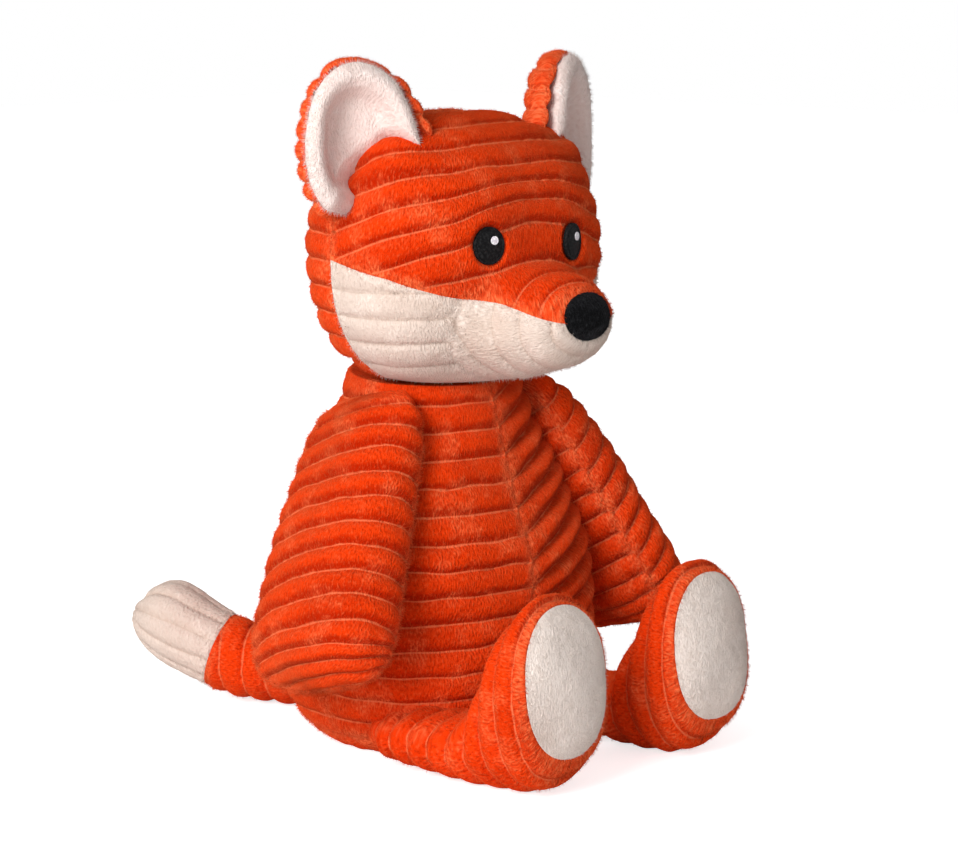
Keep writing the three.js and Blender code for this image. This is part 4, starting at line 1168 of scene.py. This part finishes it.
def behind_muzzle_seam(points):
    """How far points lie behind the seam between cheek and muzzle."""
    (top_f, top_u), (low_f, low_u) = MUZZLE_SEAM_SHARES
    top = np.array([head_y(top_f), head_z(top_u)])
    low = np.array([head_y(low_f), head_z(low_u)])
    along = unit(top - low)
    return (points[:, 1] - low[0]) * along[1] - (points[:, 2] - low[1]) * along[0]


NOSE_MIDDLE = HEAD_MIDDLE + np.array([0, -MUZZLE_REACH, NOSE_RISE - MUZZLE_DROP])


def outside_nose(points):
    """How far points lie outside the nose patch's seam."""
    q = points - NOSE_MIDDLE
    out = (np.hypot(q[:, 0] / NOSE_HALF_WIDTH, q[:, 2] / NOSE_HALF_HEIGHT) - 1) * NOSE_HALF_HEIGHT
    return np.where(q[:, 1] < MUZZLE_REACH / 2, out, MUZZLE_REACH)


def eye_place(side):
    """Where an eye lies on the head, and the direction out of the head there."""
    askew = FAR_EYE_DROP if side > 0 else 0
    start = np.array([side * EYE_SPACING / 2 - askew / 2, HEAD_MIDDLE[1],
                      HEAD_MIDDLE[2] + EYE_RISE - askew])
    forward = np.array([0.0, -1.0, 0.0])
    surface = start + forward * head_reach(start, forward)
    nudge = 2 * MM
    normal = unit([head_distance(surface + axis * nudge) - head_distance(surface - axis * nudge)
                   for axis in np.eye(3)])
    return surface, normal


def ear_mound(points):
    """How far the head swells up into the foot of each ear."""
    total = np.zeros(len(points))
    for side in SIDES.values():
        seat, _, outward, upward = ear_axes(side)
        middle = seat - outward * EAR_MOUND_INSET + upward * EAR_MOUND_RISE
        away = np.linalg.norm(points - middle, axis=1)
        total += EAR_MOUND_HEIGHT * np.exp(-(away / EAR_MOUND_RADIUS) ** 2)
    return total


def brow_phase(points, pitch):
    """Ribs of the face: slanted over the brow, turning to arcs across the muzzle."""
    q = points - HEAD_MIDDLE
    slanted = q[:, 1] * math.sin(BROW_TILT) + q[:, 2] * math.cos(BROW_TILT)
    meet = BROW_MEETING[0] * math.sin(BROW_TILT) + BROW_MEETING[1] * math.cos(BROW_TILT)
    arcs = q[:, 1] - BROW_MEETING[0] + meet
    share = smoothstep(-q[:, 1], *BROW_TURNING)
    return (slanted * (1 - share) + arcs * share) / pitch


def build_head():
    pitch = bpy.context.scene.fox_sizes.rib_pitch
    kinds = cloths()
    side_seam = head_y(SIDE_SEAM_SHARE) + SIDE_SEAM_BACK

    def held(points):
        away = np.minimum(points[:, 2] - HEAD_BASE, np.abs(points[:, 1] - side_seam))
        for side in SIDES.values():
            for place, radius in ((eye_place(side)[0], EYE_HOLD_RADIUS),
                                  (ear_axes(side)[0], EAR_HOLD_RADIUS)):
                away = np.minimum(away, np.linalg.norm(points - place, axis=1) - radius)
        return holding(away)

    skin = head_skin()
    skin = swollen(skin, settling(skin, held))
    nose = skin.cut(-outside_nose(skin.points))
    skin = skin.cut(outside_nose(skin.points))
    back = skin.cut(skin.points[:, 1] - side_seam)
    front = skin.cut(side_seam - skin.points[:, 1])
    face = front.cut(over_cheek_seam(front.points))
    lower = front.cut(-over_cheek_seam(front.points))
    pressed = np.zeros(len(face.points))
    for side in SIDES.values():
        away = np.linalg.norm(face.points - eye_place(side)[0], axis=1)
        pressed = np.maximum(pressed, 1 - smoothstep(away / EYE_RADIUS, *EYE_DENT_SHARES))

    def rest(points):
        """Share by which the cloth rests on the torso."""
        return 1 - smoothstep(points[:, 2], HEAD_BASE, HEAD_BASE + BASE_FLATTENING)

    panel("face_cover", face, brow_phase(face.points, pitch),
          round_angle(face.points, HEAD_MIDDLE) * HEAD_HALF_WIDTH, HEAD_MIDDLE,
          kinds["brow"], "head", ["face_panel"], press=(pressed, -EYE_DENT),
          swell=ear_mound(face.points), bald=pressed)
    panel("head_back_cover", back, back.points[:, 2] / pitch,
          round_angle(back.points, HEAD_MIDDLE) * HEAD_HALF_WIDTH, HEAD_MIDDLE,
          kinds["orange"], "head", ["head_back", "head_filling"],
          press=(rest(back.points), 0), swell=ear_mound(back.points), bald=rest(back.points))
    for name, side in SIDES.items():
        half = lower.cut(side * lower.points[:, 0])
        cheek = half.cut(behind_muzzle_seam(half.points))
        apex = HEAD_MIDDLE + np.array([side * 20 * MM, -10 * MM, -20 * MM])
        panel(f"cheek_{name}_cover", cheek, cheek.points[:, 2] / pitch,
              round_angle(cheek.points, HEAD_MIDDLE) * HEAD_HALF_WIDTH, apex, kinds["cream"],
              "head", [f"cheek_{name}"], press=(rest(cheek.points), 0),
              bald=rest(cheek.points))
        muzzle = half.cut(-behind_muzzle_seam(half.points))
        turn = np.arctan2(muzzle.points[:, 2] - NOSE_MIDDLE[2], side * muzzle.points[:, 0])
        apex = NOSE_MIDDLE + np.array([side * 8 * MM, 35 * MM, -4 * MM])
        panel(f"muzzle_{name}_cover", muzzle, muzzle.points[:, 1] / pitch,
              turn * MUZZLE_HALF_HEIGHT, apex, kinds["cream"], "head",
              [f"muzzle_side_{name}"], press=(rest(muzzle.points), 0),
              bald=rest(muzzle.points))
    bulge = NOSE_BULGE * smoothstep(nose.fields["seam"], 0, NOSE_BULGE_EDGE)
    panel("nose_cover", nose, None, nose.points[:, 0], NOSE_MIDDLE + np.array([0, 20 * MM, 0]),
          kinds["black"], "head", ["nose_patch"], swell=bulge)


def stitched_disc(name, radius, thickness, middle, normal, rim):
    """An embroidered disc with a raised rim of stitches, modelled from a cylinder."""
    deselect_all()
    bpy.ops.mesh.primitive_cylinder_add(vertices=48, radius=radius, depth=thickness)
    made = bpy.context.active_object
    made.name = name
    made.data.name = name
    bpy.ops.object.mode_set(mode="EDIT")
    bpy.ops.mesh.select_all(action="DESELECT")
    bpy.ops.object.mode_set(mode="OBJECT")
    for face in made.data.polygons:
        face.select = face.normal.z > 0.9
    bpy.ops.object.mode_set(mode="EDIT")
    bpy.ops.mesh.inset(thickness=rim)
    bpy.ops.mesh.inset(thickness=rim * 0.35, depth=-rim * 0.45)
    bpy.ops.mesh.inset(thickness=rim * 0.5, depth=rim * 0.4)
    for _ in range(4):
        bpy.ops.mesh.inset(thickness=radius / 8, depth=thickness * 0.05)
    bpy.ops.object.mode_set(mode="OBJECT")
    bevel = made.modifiers.new("Soft edges", "BEVEL")
    bevel.width = rim * 0.3
    bevel.segments = 2
    bpy.ops.object.modifier_apply(modifier=bevel.name)
    turn = Vector((0, 0, 1)).rotation_difference(Vector(normal)).to_matrix().to_4x4()
    made.matrix_world = Matrix.Translation(Vector(middle)) @ turn
    bpy.ops.object.transform_apply(location=True, rotation=True, scale=True)
    bpy.ops.object.shade_smooth_by_angle(angle=math.radians(40))
    return made


def build_eyes():
    for name, side in SIDES.items():
        surface, normal = eye_place(side)
        if side > 0:
            normal = unit(normal + FAR_EYE_TURN)
        eye = stitched_disc(f"eye_{name}_stitches", EYE_RADIUS, EYE_THICKNESS,
                            surface - normal * EYE_SINK, normal, EYE_RIM)
        eye.data.materials.append(bpy.data.materials["Black stitches"])
        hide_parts(f"eye_{name}")
        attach(eye, "head")
        offset = GLINT_OFFSET - normal * (GLINT_OFFSET @ normal)
        glint = stitched_disc(f"eye_glint_{name}_stitches", GLINT_RADIUS, GLINT_THICKNESS,
                              surface + offset - normal * GLINT_SINK, normal, GLINT_RIM)
        glint.data.materials.append(bpy.data.materials["White stitches"])
        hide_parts(f"eye_glint_{name}")
        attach(glint, "head")


# Ears

def through(a, b, c, d, t):
    """Places from b to c on a smooth curve through four points."""
    return 0.5 * (2 * b + (c - a) * t + (2 * a - 5 * b + 4 * c - d) * t**2
                  + (3 * b - a - 3 * c + d) * t**3)


def closed_curve(points, count):
    """Evenly numbered points on a smooth closed curve through some points."""
    points = np.asarray(points, float)
    place = np.linspace(0, len(points), count, endpoint=False)
    k = place.astype(int)
    t = (place - k)[:, None]
    return through(*(points[(k + step) % len(points)] for step in (-1, 0, 1, 2)), t)


def open_curve(points, count):
    """Points on a smooth curve through some points, from the first to the last."""
    points = np.asarray(points, float)
    padded = np.concatenate([[2 * points[0] - points[1]], points, [2 * points[-1] - points[-2]]])
    place = np.linspace(0, len(points) - 1, count)
    k = np.minimum(place.astype(int), len(points) - 2)
    t = (place - k)[:, None]
    return through(*(padded[k + step] for step in (0, 1, 2, 3)), t)


def ear_axes(side):
    """An ear's seat on the head, and its facing, outward and upward directions."""
    facing = unit(np.array([side * EAR_FACING[0], EAR_FACING[1], EAR_FACING[2]]))
    outward = unit(np.cross(UP, facing) * side)
    upward = np.cross(facing, outward) * side
    seat = HEAD_MIDDLE + np.array([side * HEAD_HALF_WIDTH * EAR_SEAT_SHARES[0],
                                   HEAD_HALF_DEPTH * EAR_SEAT_SHARES[1],
                                   HEAD_HALF_HEIGHT * EAR_SEAT_SHARES[2]])
    return seat, facing, outward, upward


def ear_skin(side, sections, edge):
    """One of an ear's two layers, with how far each point lies past its section numbered
    edge, where the other layer covers it."""
    seat, facing, outward, upward = ear_axes(side)
    outline = closed_curve(EAR_SHARES, 190)
    middle = np.array(EAR_MIDDLE_SHARES)
    curve = open_curve(sections, 90)
    growing = np.linspace(0.03, 1, 14)[:-1]
    shrinking = np.linspace(1, 0.03, 14)[1:]
    inner = np.stack([growing * curve[0, 0], np.full_like(growing, curve[0, 1])], 1)
    outer = np.stack([shrinking * curve[-1, 0], np.full_like(shrinking, curve[-1, 1])], 1)
    rings = []
    profile = np.concatenate([inner, curve, outer])
    for size, depth in profile:
        flat = middle + (outline - middle) * size
        rings.append(seat + outward * EAR_WIDTH * flat[:, :1]
                     + upward * EAR_HEIGHT * flat[:, 1:] - facing * EAR_DEPTH * depth)
    skin = loft(np.array(rings))
    rim = smoothstep(profile[:, 0], *EAR_RIM_SHARES)
    skin.fields["rim"] = np.concatenate([np.repeat(rim, len(outline)), [0, 0]])
    place = (np.arange(len(profile)) - len(inner)) / (len(curve) - 1) * (len(sections) - 1)
    beyond = np.concatenate([np.repeat(place, len(outline)), place[[0, -1]]]) - edge
    skin.fields["beyond"] = beyond
    return skin


def ear_sunk(skin, side):
    """An ear's skin with its foot sunk into the head, along the line that it is sewn on."""
    seat, facing, outward, upward = ear_axes(side)
    q = skin.points - seat
    out, up = q @ outward / EAR_WIDTH, q @ upward
    line = np.interp(out, *np.array(EAR_FOOT_SHARES).T) * EAR_HEIGHT
    share = smoothstep(line - up, *EAR_FOOT_BLEND)
    inward = unit(HEAD_MIDDLE + UP * EAR_SUNK_AIM - skin.points) - facing * EAR_SUNK_BACKWARD
    skin.points = skin.points + inward * (share * EAR_SUNK_DEPTH)[:, None]
    skin.fields["normal"] = corner_normals(skin.points, skin.faces)
    return skin


def build_ears():
    pitch = bpy.context.scene.fox_sizes.rib_pitch
    kinds = cloths()
    for name, side in SIDES.items():
        seat, _, outward, upward = ear_axes(side)
        back = ear_skin(side, EAR_BACK_SHARES, 4)
        inner = np.clip(-((back.points - seat) @ outward) / EAR_WIDTH, 0, 0.4)
        back.points = back.points - outward[None] * (inner * EAR_BACK_WIDENING)[:, None]
        back = ear_sunk(back, side)
        q = back.points - seat
        panel(f"ear_back_{name}_cover", back, q @ upward / (pitch * 0.8), q @ outward, seat,
              kinds["edge"], "head", [f"ear_back_{name}"], fringe=back.fields["rim"] * 0.8,
              bald=back.fields["beyond"] < -0.2)
        lining = ear_sunk(ear_skin(side, EAR_LINING_SHARES, 6), side)
        q = lining.points - seat
        out, up = q @ outward, q @ upward
        middle = np.array(EAR_MIDDLE_SHARES) * (EAR_WIDTH, EAR_HEIGHT)
        away = np.hypot(out - middle[0], up - middle[1])
        folds = np.sin((out * 0.8 - up * 0.5) * (2 * math.pi / EAR_FOLD_SPACING) + side)
        swell = EAR_FOLD_HEIGHT * folds * (1 - smoothstep(away, *EAR_FOLD_RADII))
        sweep = outward * (out - middle[0])[:, None] + upward * (up - middle[1])[:, None]
        panel(f"ear_lining_{name}_cover", lining, None, q @ outward, seat, kinds["fluffy"],
              "head", [f"ear_lining_{name}"], swell=swell, fringe=lining.fields["rim"],
              sweep=EAR_PILE_SWEEP * unit(sweep), bald=lining.fields["beyond"] > 0.2)


# Arms

def arm_axes(side):
    """An arm's directions down, outward and ahead, and the top of its middle line."""
    down = unit(np.array([side * ARM_SPREAD_SHARE, -ARM_REACH_SHARE, -1]))
    outward = unit(np.array([side, 0, 0]) - side * down[0] * down)
    ahead = unit(np.cross(down, outward) * side)
    edge = TORSO_HALF_WIDTH * follow(TORSO_SHARES, SHOULDER_HEIGHT / TORSO_HEIGHT, 1)
    top = np.array([side * edge, -TORSO_FORWARD - SHOULDER_FORWARD, SHOULDER_HEIGHT])
    return down, outward, ahead, top


def limb_angles(half_width, half_height):
    """Angles round a limb whose points lie about a cloth step apart."""
    round_it = 2 * math.pi * math.hypot(half_width, half_height) / math.sqrt(2)
    return even_angles(
        lambda a: np.stack(section(a, half_width, half_height, LIMB_SQUARE), 1),
        int(round_it / CLOTH_STEP))


def limb_rings(shares, angles, place, table, half_width, half_height, square):
    """Rings of a limb: place gives the middle and axes at each share, a table its sizes."""
    rings = []
    for share in shares:
        middle, across, up = place(share)
        a, b = section(angles, half_width * follow(table, share, 1),
                       half_height * follow(table, share, 2), square)
        rings.append(middle + across * a[:, None] + up * b[:, None])
    return np.array(rings)


def rounded_root(ring, away, reach, count, fullness=1.0):
    """Rings from a rounded root, which reaches away from a limb, to the limb's first ring."""
    turn = np.linspace(0, math.pi / 2, count)[1:, None, None]
    middle = ring.mean(0)
    rings = middle + (ring - middle) * np.cos(turn) ** fullness + away * (reach * np.sin(turn))
    return rings[::-1]


def flat_end(ring, count, least):
    """Rings that shrink from a limb's last ring towards its middle."""
    middle = ring.mean(0)
    return middle + (ring - middle) * np.linspace(1, least, count)[1:, None, None]


def build_arms():
    pitch = bpy.context.scene.fox_sizes.rib_pitch
    kinds = cloths()
    angles = limb_angles(ARM_HALF_WIDTH, ARM_HALF_THICKNESS)
    for name, side in SIDES.items():
        down, outward, ahead, top = arm_axes(side)
        seam_facing = outward * math.cos(ARM_SEAM_TURN) + ahead * math.sin(ARM_SEAM_TURN)
        shares = np.linspace(0, 1, 1200)
        profile = np.stack([shares * ARM_LENGTH,
                            ARM_HALF_WIDTH * follow(ARM_SHARES, shares, 1)], 1)
        places = even_places(profile, CLOTH_STEP * 0.9)
        rings = limb_rings(
            places, angles, lambda s: (top + down * ARM_LENGTH * s, ahead, outward),
            ARM_SHARES, ARM_HALF_WIDTH, ARM_HALF_THICKNESS, LIMB_SQUARE)
        skin = loft(np.concatenate([flat_end(rings[0], 12, 0.04)[::-1], rings,
                                    flat_end(rings[-1], 12, 0.04)]))

        def held(points):
            q = points - top
            seam = np.abs(q @ seam_facing)
            return holding(np.minimum(seam, q @ down - ARM_ROOT))

        skin = swollen(skin, settling(skin, held))
        for place, way in (("outer", 1), ("inner", -1)):
            part = skin.cut(way * ((skin.points - top) @ seam_facing))
            q = part.points - top
            turn = np.arctan2(q @ outward, q @ ahead)
            apex = top + down * ARM_LENGTH / 2 + outward * way * 5 * MM
            rise = ARM_RIB_SLOPE * way * q @ ahead
            if side > 0 and way > 0:
                rise = LEFT_OUTER_RIB_SLOPE * q @ outward
            elif side > 0:
                rise = LEFT_INNER_RIB_SLOPE * q @ ahead
            edge = ARM_HALF_THICKNESS * np.sqrt(
                np.clip(1 - (q @ ahead / ARM_HALF_WIDTH) ** 2, 0, 1))
            near_tip = smoothstep(q @ down, *(share * ARM_LENGTH for share in ARM_TIP_SHARES))
            over_tip = near_tip * np.maximum(edge - way * (q @ outward), 0)
            phase = (q @ down + rise + over_tip) / pitch + (0.5 if way < 0 else 0)
            root = 1 - smoothstep(q @ down, *ARM_FLATTENING)
            panel(f"arm_{place}_{name}_cover", part, phase, turn * ARM_HALF_WIDTH,
                  apex, kinds["arm"], f"arm_{name}",
                  [f"arm_{place}_{name}"] + ([f"arm_filling_{name}"] if way > 0 else []),
                  press=(root, 0), bald=root)


# Legs

HIP_Y = -TORSO_FORWARD - TORSO_HALF_DEPTH * float(
    follow(TORSO_SHARES, HIP_HEIGHT / TORSO_HEIGHT, 2)) * (
    1 - (HIP_SPACING / 2 / TORSO_HALF_WIDTH) ** TORSO_SQUARE) ** (1 / TORSO_SQUARE)


def leg_place(side, share):
    """The middle of a leg and its directions across and up, at a share of its length."""
    tilt = SOLE_TILT * smoothstep(share, LEG_SHARES[3][0], 1)
    up = np.array([0, math.sin(tilt), math.cos(tilt)])
    height = FOOT_HALF_HEIGHT * follow(LEG_SHARES, share, 3)
    middle = np.array([side * HIP_SPACING / 2, HIP_Y - LEG_LENGTH * share, height])
    return middle, np.array([1.0, 0, 0]), up


def build_legs():
    pitch = bpy.context.scene.fox_sizes.rib_pitch
    kinds = cloths()
    angles = limb_angles(FOOT_HALF_WIDTH, FOOT_HALF_HEIGHT)
    for name, side in SIDES.items():
        shares = np.linspace(0, 1, 400)
        profile = np.stack([shares * LEG_LENGTH, FOOT_HALF_HEIGHT
                            * (follow(LEG_SHARES, shares, 2) + follow(LEG_SHARES, shares, 3))], 1)
        places = even_places(profile, CLOTH_STEP * 0.9)
        wall = limb_rings(places, angles, lambda s: leg_place(side, s), LEG_SHARES,
                          FOOT_HALF_WIDTH, FOOT_HALF_HEIGHT, LIMB_SQUARE)
        root = rounded_root(wall[0], np.array([0, 1, 0]), LEG_ROOT, 34, LEG_FULLNESS)
        rim = wall[-1]
        middle = rim.mean(0)
        outward = np.array([0, -math.cos(SOLE_TILT), math.sin(SOLE_TILT)])
        spread = np.linspace(1, 0.02, 34)[1:, None, None]
        dome = middle + (rim[None] - middle) * spread + outward * SOLE_BULGE * (1 - spread**2)
        skin = loft(np.concatenate([root, wall, dome]))

        def held(points):
            sole = -(points - middle) @ outward
            from_hip = HIP_Y - 10 * MM - points[:, 1]
            return holding(np.minimum(sole, from_hip) + MM)

        skin = swollen(skin, settling(skin, held))
        ahead = (skin.points - middle) @ outward
        cover = skin.cut(SOLE_SEAM_AHEAD - ahead)
        sole = skin.cut(ahead - SOLE_SEAM_AHEAD)
        along = np.arctan2(cover.points[:, 0] - middle[0],
                           cover.points[:, 2] - middle[2]) * FOOT_HALF_WIDTH
        distance = (cover.points - middle) @ (outward * (1, 1, 0.5))
        apex = middle + np.array([0, 25 * MM, -8 * MM])
        panel(f"leg_cover_{name}_cover", cover, (distance + LEG_RIBS_AHEAD) / pitch, along, apex,
              kinds["leg"], f"leg_{name}", [f"leg_cover_{name}", f"leg_filling_{name}"])
        panel(f"sole_{name}_cover", sole, None, sole.points[:, 0], apex,
              kinds["smooth"], f"leg_{name}", [f"sole_{name}"])


# Tail

TAIL_Y = -TORSO_FORWARD + TORSO_HALF_DEPTH * float(
    follow(TORSO_SHARES, TAIL_HEIGHT / TORSO_HEIGHT, 2))
TAIL_ACROSS = np.array([math.cos(TAIL_TURN), math.sin(TAIL_TURN), 0])
TAIL_AWAY = np.array([-math.sin(TAIL_TURN), math.cos(TAIL_TURN), 0])
TAIL_ROOT = np.array([0, TAIL_Y, TAIL_HEIGHT])


def tail_place(share):
    """The middle of the tail and its directions across and up, at a share of its length."""
    tilt = math.atan(3 * TAIL_RISE * share**2 / TAIL_LENGTH)
    middle = TAIL_ROOT + TAIL_AWAY * TAIL_LENGTH * share + UP * TAIL_RISE * share**3
    return middle, TAIL_ACROSS, UP * math.cos(tilt) - TAIL_AWAY * math.sin(tilt)


def build_tail():
    pitch = bpy.context.scene.fox_sizes.rib_pitch
    kinds = cloths()
    angles = np.linspace(0, 2 * math.pi, int(2 * math.pi * TAIL_HALF_WIDTH / CLOTH_STEP),
                         endpoint=False)
    shares = np.linspace(0, 1, 900)
    profile = np.stack([shares * TAIL_LENGTH, TAIL_HALF_WIDTH * follow(TAIL_SHARES, shares, 1)], 1)
    places = even_places(profile, CLOTH_STEP * 0.9)
    wall = limb_rings(places, angles, tail_place, TAIL_SHARES, TAIL_HALF_WIDTH,
                      TAIL_HALF_WIDTH, ROUND)
    root = rounded_root(wall[0], -TAIL_AWAY, TAIL_ROOT_REACH, 14)
    skin = loft(np.concatenate([root, wall, flat_end(wall[-1], 10, 0.05)]))
    middle, across, up = tail_place(TAIL_SEAM_SHARE)
    along_way = unit(np.cross(up, across))

    def held(points):
        from_seam = np.abs((points - middle) @ along_way)
        from_root = (points - TAIL_ROOT) @ TAIL_AWAY - 8 * MM
        return holding(np.minimum(from_seam, from_root), 8 * MM)

    skin = swollen(skin, settling(skin, held))
    ahead = (skin.points - middle) @ along_way
    cover = skin.cut(-ahead)
    end = skin.cut(ahead)
    q = cover.points - TAIL_ROOT
    turn = np.arctan2(q @ TAIL_ACROSS, q[:, 2])
    panel("tail_cover_cover", cover, q @ TAIL_AWAY / pitch,
          turn * TAIL_HALF_WIDTH, middle - along_way * 25 * MM, kinds["orange"], "tail",
          ["tail_cover", "tail_filling"])
    q = end.points - middle
    turn = np.arctan2(q @ across, q @ up)
    panel("tail_tip_cover", end, turn / (2 * math.pi) * TAIL_TIP_RIBS, end.points[:, 1],
          middle + along_way * 25 * MM, kinds["cream"], "tail", ["tail_tip"])


# Colours and stitches

def build_materials():
    colours = bpy.context.scene.fox_colours
    pile_effect()
    orange = (colours.orange, colours.orange_deep, colours.orange_light, colours.orange_line)
    cream = (colours.cream, colours.cream_deep, colours.cream_light, colours.cream_deep)
    smooth = (colours.sole, colours.sole_deep, colours.cream_light, colours.sole)
    hollow = (colours.hollow, colours.hollow_deep, colours.hollow_light, colours.hollow)
    # The black plush's light colour, spread by its patches and pile tips, paints speckles of
    # reflection on the nose
    black = (colours.black, (0.001, 0.001, 0.001), (0.05, 0.05, 0.055), colours.black)
    # Each plush's shares: brushed patches, seam fuzz, painted shade on downward rib flanks, and
    # grain
    plush("Orange pile", orange, (0.55, 0.95, 0.85, 0.5),
          sheen=0.22, sheen_tint=(1.0, 0.36, 0.13), bump=1.0)
    plush("Cream pile", cream, (0.4, 0.7, 0.35, 0.3),
          sheen=0.12, sheen_tint=(1.0, 0.93, 0.86), bump=0.7)
    plush("Smooth pile", smooth, (0.35, 0.1, 0.1, 0.2),
          sheen=0.1, sheen_tint=(1.0, 0.95, 0.92), bump=0.5)
    plush("Lining pile", hollow, (0.35, 0.5, 0.2, 0.3),
          sheen=0.1, sheen_tint=(1.0, 0.95, 0.92), bump=0.7)
    plush("Black pile", black, (0.4, 0.1, 0.2, 0.4),
          sheen=0.05, sheen_tint=(0.5, 0.5, 0.55), bump=1.0, shine=0.05)
    thread("Black stitches", colours.black, 0.8)
    thread("White stitches", (0.78, 0.74, 0.8), 0.6)


# Stage

def area_light(name, place, size, power):
    """A round studio lamp that faces the fox."""
    data = bpy.data.lights.new(name, "AREA")
    data.shape = "DISK"
    data.size = size
    data.energy = power
    lamp = bpy.data.objects.new(name, data)
    lamp.location = place
    facing = CAMERA_TARGET - Vector(place)
    lamp.rotation_euler = facing.to_track_quat("-Z", "Y").to_euler()
    bpy.context.scene.collection.objects.link(lamp)


def build_stage():
    scene = bpy.context.scene
    scene.view_settings.view_transform = "Standard"
    camera_data = bpy.data.cameras.new("Camera")
    camera = bpy.data.objects.new("Camera", camera_data)
    scene.collection.objects.link(camera)
    scene.camera = camera
    camera.location = (-CAMERA_DISTANCE * math.sin(CAMERA_YAW),
                       -CAMERA_DISTANCE * math.cos(CAMERA_YAW), CAMERA_HEIGHT)
    ahead = CAMERA_TARGET - camera.location
    camera.rotation_euler = ahead.to_track_quat("-Z", "Y").to_euler()
    width, height = PICTURE_SIZE
    camera_data.sensor_width = SENSOR_WIDTH_MM
    camera_data.lens = ahead.length / METRES_PER_PIXEL / width * SENSOR_WIDTH_MM
    camera_data.shift_x = (width / 2 - TARGET_PIXEL[0]) / width
    camera_data.shift_y = (TARGET_PIXEL[1] - height / 2) / width
    camera_data.clip_end = 20

    bpy.ops.mesh.primitive_plane_add(size=8)
    floor = bpy.context.active_object
    floor.name = "Floor"
    material = bpy.data.materials.new("Pale floor")
    material.use_nodes = True
    tree = material.node_tree
    shader = tree.nodes["Principled BSDF"]
    shader.inputs["Base Color"].default_value = (0.9, 0.9, 0.9, 1)
    shader.inputs["Roughness"].default_value = 0.9
    seen = add(tree, "ShaderNodeLightPath").outputs["Is Camera Ray"]
    shader.inputs["Emission Color"].default_value = (1, 1, 1, 1)
    wire(tree, reckon(tree, "MULTIPLY", seen, FLOOR_GLOW), shader.inputs["Emission Strength"])
    floor.data.materials.append(material)

    world = bpy.data.worlds.new("Studio")
    world.use_nodes = True
    scene.world = world
    tree = world.node_tree
    background = tree.nodes["Background"]
    path = add(tree, "ShaderNodeLightPath").outputs
    plain = reckon(tree, "MAXIMUM", path["Is Camera Ray"],
                   reckon(tree, "MAXIMUM", path["Is Glossy Ray"], path["Is Transmission Ray"]))
    background.inputs["Color"].default_value = (1, 1, 1, 1)
    strength = reckon(tree, "MULTIPLY_ADD", plain, 1 - SKY_LIGHT, SKY_LIGHT)
    wire(tree, strength, background.inputs["Strength"])

    for lamp in LAMPS:
        area_light(*lamp)


class FOX_OT_stage(bpy.types.Operator):
    """Adds the floor, the studio light and the camera of the photograph"""
    bl_idname = "fox.stage"
    bl_label = "Stage"

    def execute(self, context):
        build_stage()
        return {"FINISHED"}


class FOX_OT_materials(bpy.types.Operator):
    """Makes the plush and thread materials"""
    bl_idname = "fox.materials"
    bl_label = "Materials"

    def execute(self, context):
        build_materials()
        return {"FINISHED"}


class FOX_OT_torso(bpy.types.Operator):
    """Sews the torso's four ribbed panels and its seat"""
    bl_idname = "fox.torso"
    bl_label = "Torso"

    def execute(self, context):
        build_torso()
        return {"FINISHED"}


class FOX_OT_head(bpy.types.Operator):
    """Sews the head from its brow, back, cheek, muzzle and nose panels"""
    bl_idname = "fox.head"
    bl_label = "Head"

    def execute(self, context):
        build_head()
        return {"FINISHED"}


class FOX_OT_eyes(bpy.types.Operator):
    """Embroiders the eyes and their glints"""
    bl_idname = "fox.eyes"
    bl_label = "Eyes"

    def execute(self, context):
        build_eyes()
        return {"FINISHED"}


class FOX_OT_ears(bpy.types.Operator):
    """Sews the two ears, each a ribbed back and a fluffy lining"""
    bl_idname = "fox.ears"
    bl_label = "Ears"

    def execute(self, context):
        build_ears()
        return {"FINISHED"}


class FOX_OT_arms(bpy.types.Operator):
    """Sews the two arms, each from an outer and an inner panel"""
    bl_idname = "fox.arms"
    bl_label = "Arms"

    def execute(self, context):
        build_arms()
        return {"FINISHED"}


class FOX_OT_legs(bpy.types.Operator):
    """Sews the two legs and their smooth soles"""
    bl_idname = "fox.legs"
    bl_label = "Legs"

    def execute(self, context):
        build_legs()
        return {"FINISHED"}


class FOX_OT_tail(bpy.types.Operator):
    """Sews the tail and its cream tip"""
    bl_idname = "fox.tail"
    bl_label = "Tail"

    def execute(self, context):
        build_tail()
        return {"FINISHED"}


OPERATORS = (FOX_OT_stage, FOX_OT_materials, FOX_OT_torso, FOX_OT_head, FOX_OT_eyes,
             FOX_OT_ears, FOX_OT_arms, FOX_OT_legs, FOX_OT_tail)


class FOX_PT_panel(bpy.types.Panel):
    """Lists the steps that build the fox"""
    bl_idname = "FOX_PT_panel"
    bl_label = "Plush fox"
    bl_space_type = "VIEW_3D"
    bl_region_type = "UI"
    bl_category = "Plush fox"

    def draw(self, context):
        for step in OPERATORS:
            self.layout.operator(step.bl_idname)
        for group in (context.scene.fox_sizes, context.scene.fox_colours):
            for label in group.__annotations__:
                self.layout.prop(group, label)


CLASSES = (FoxSizes, FoxColours, *OPERATORS, FOX_PT_panel)


def register():
    for kind in CLASSES:
        bpy.utils.register_class(kind)
    bpy.types.Scene.fox_sizes = PointerProperty(type=FoxSizes)
    bpy.types.Scene.fox_colours = PointerProperty(type=FoxColours)


def unregister():
    del bpy.types.Scene.fox_sizes
    del bpy.types.Scene.fox_colours
    for kind in reversed(CLASSES):
        bpy.utils.unregister_class(kind)


def main():
    register()
    for step in OPERATORS:
        group, name = step.bl_idname.split(".")
        getattr(getattr(bpy.ops, group), name)()


if __name__ == "__main__":
    main()
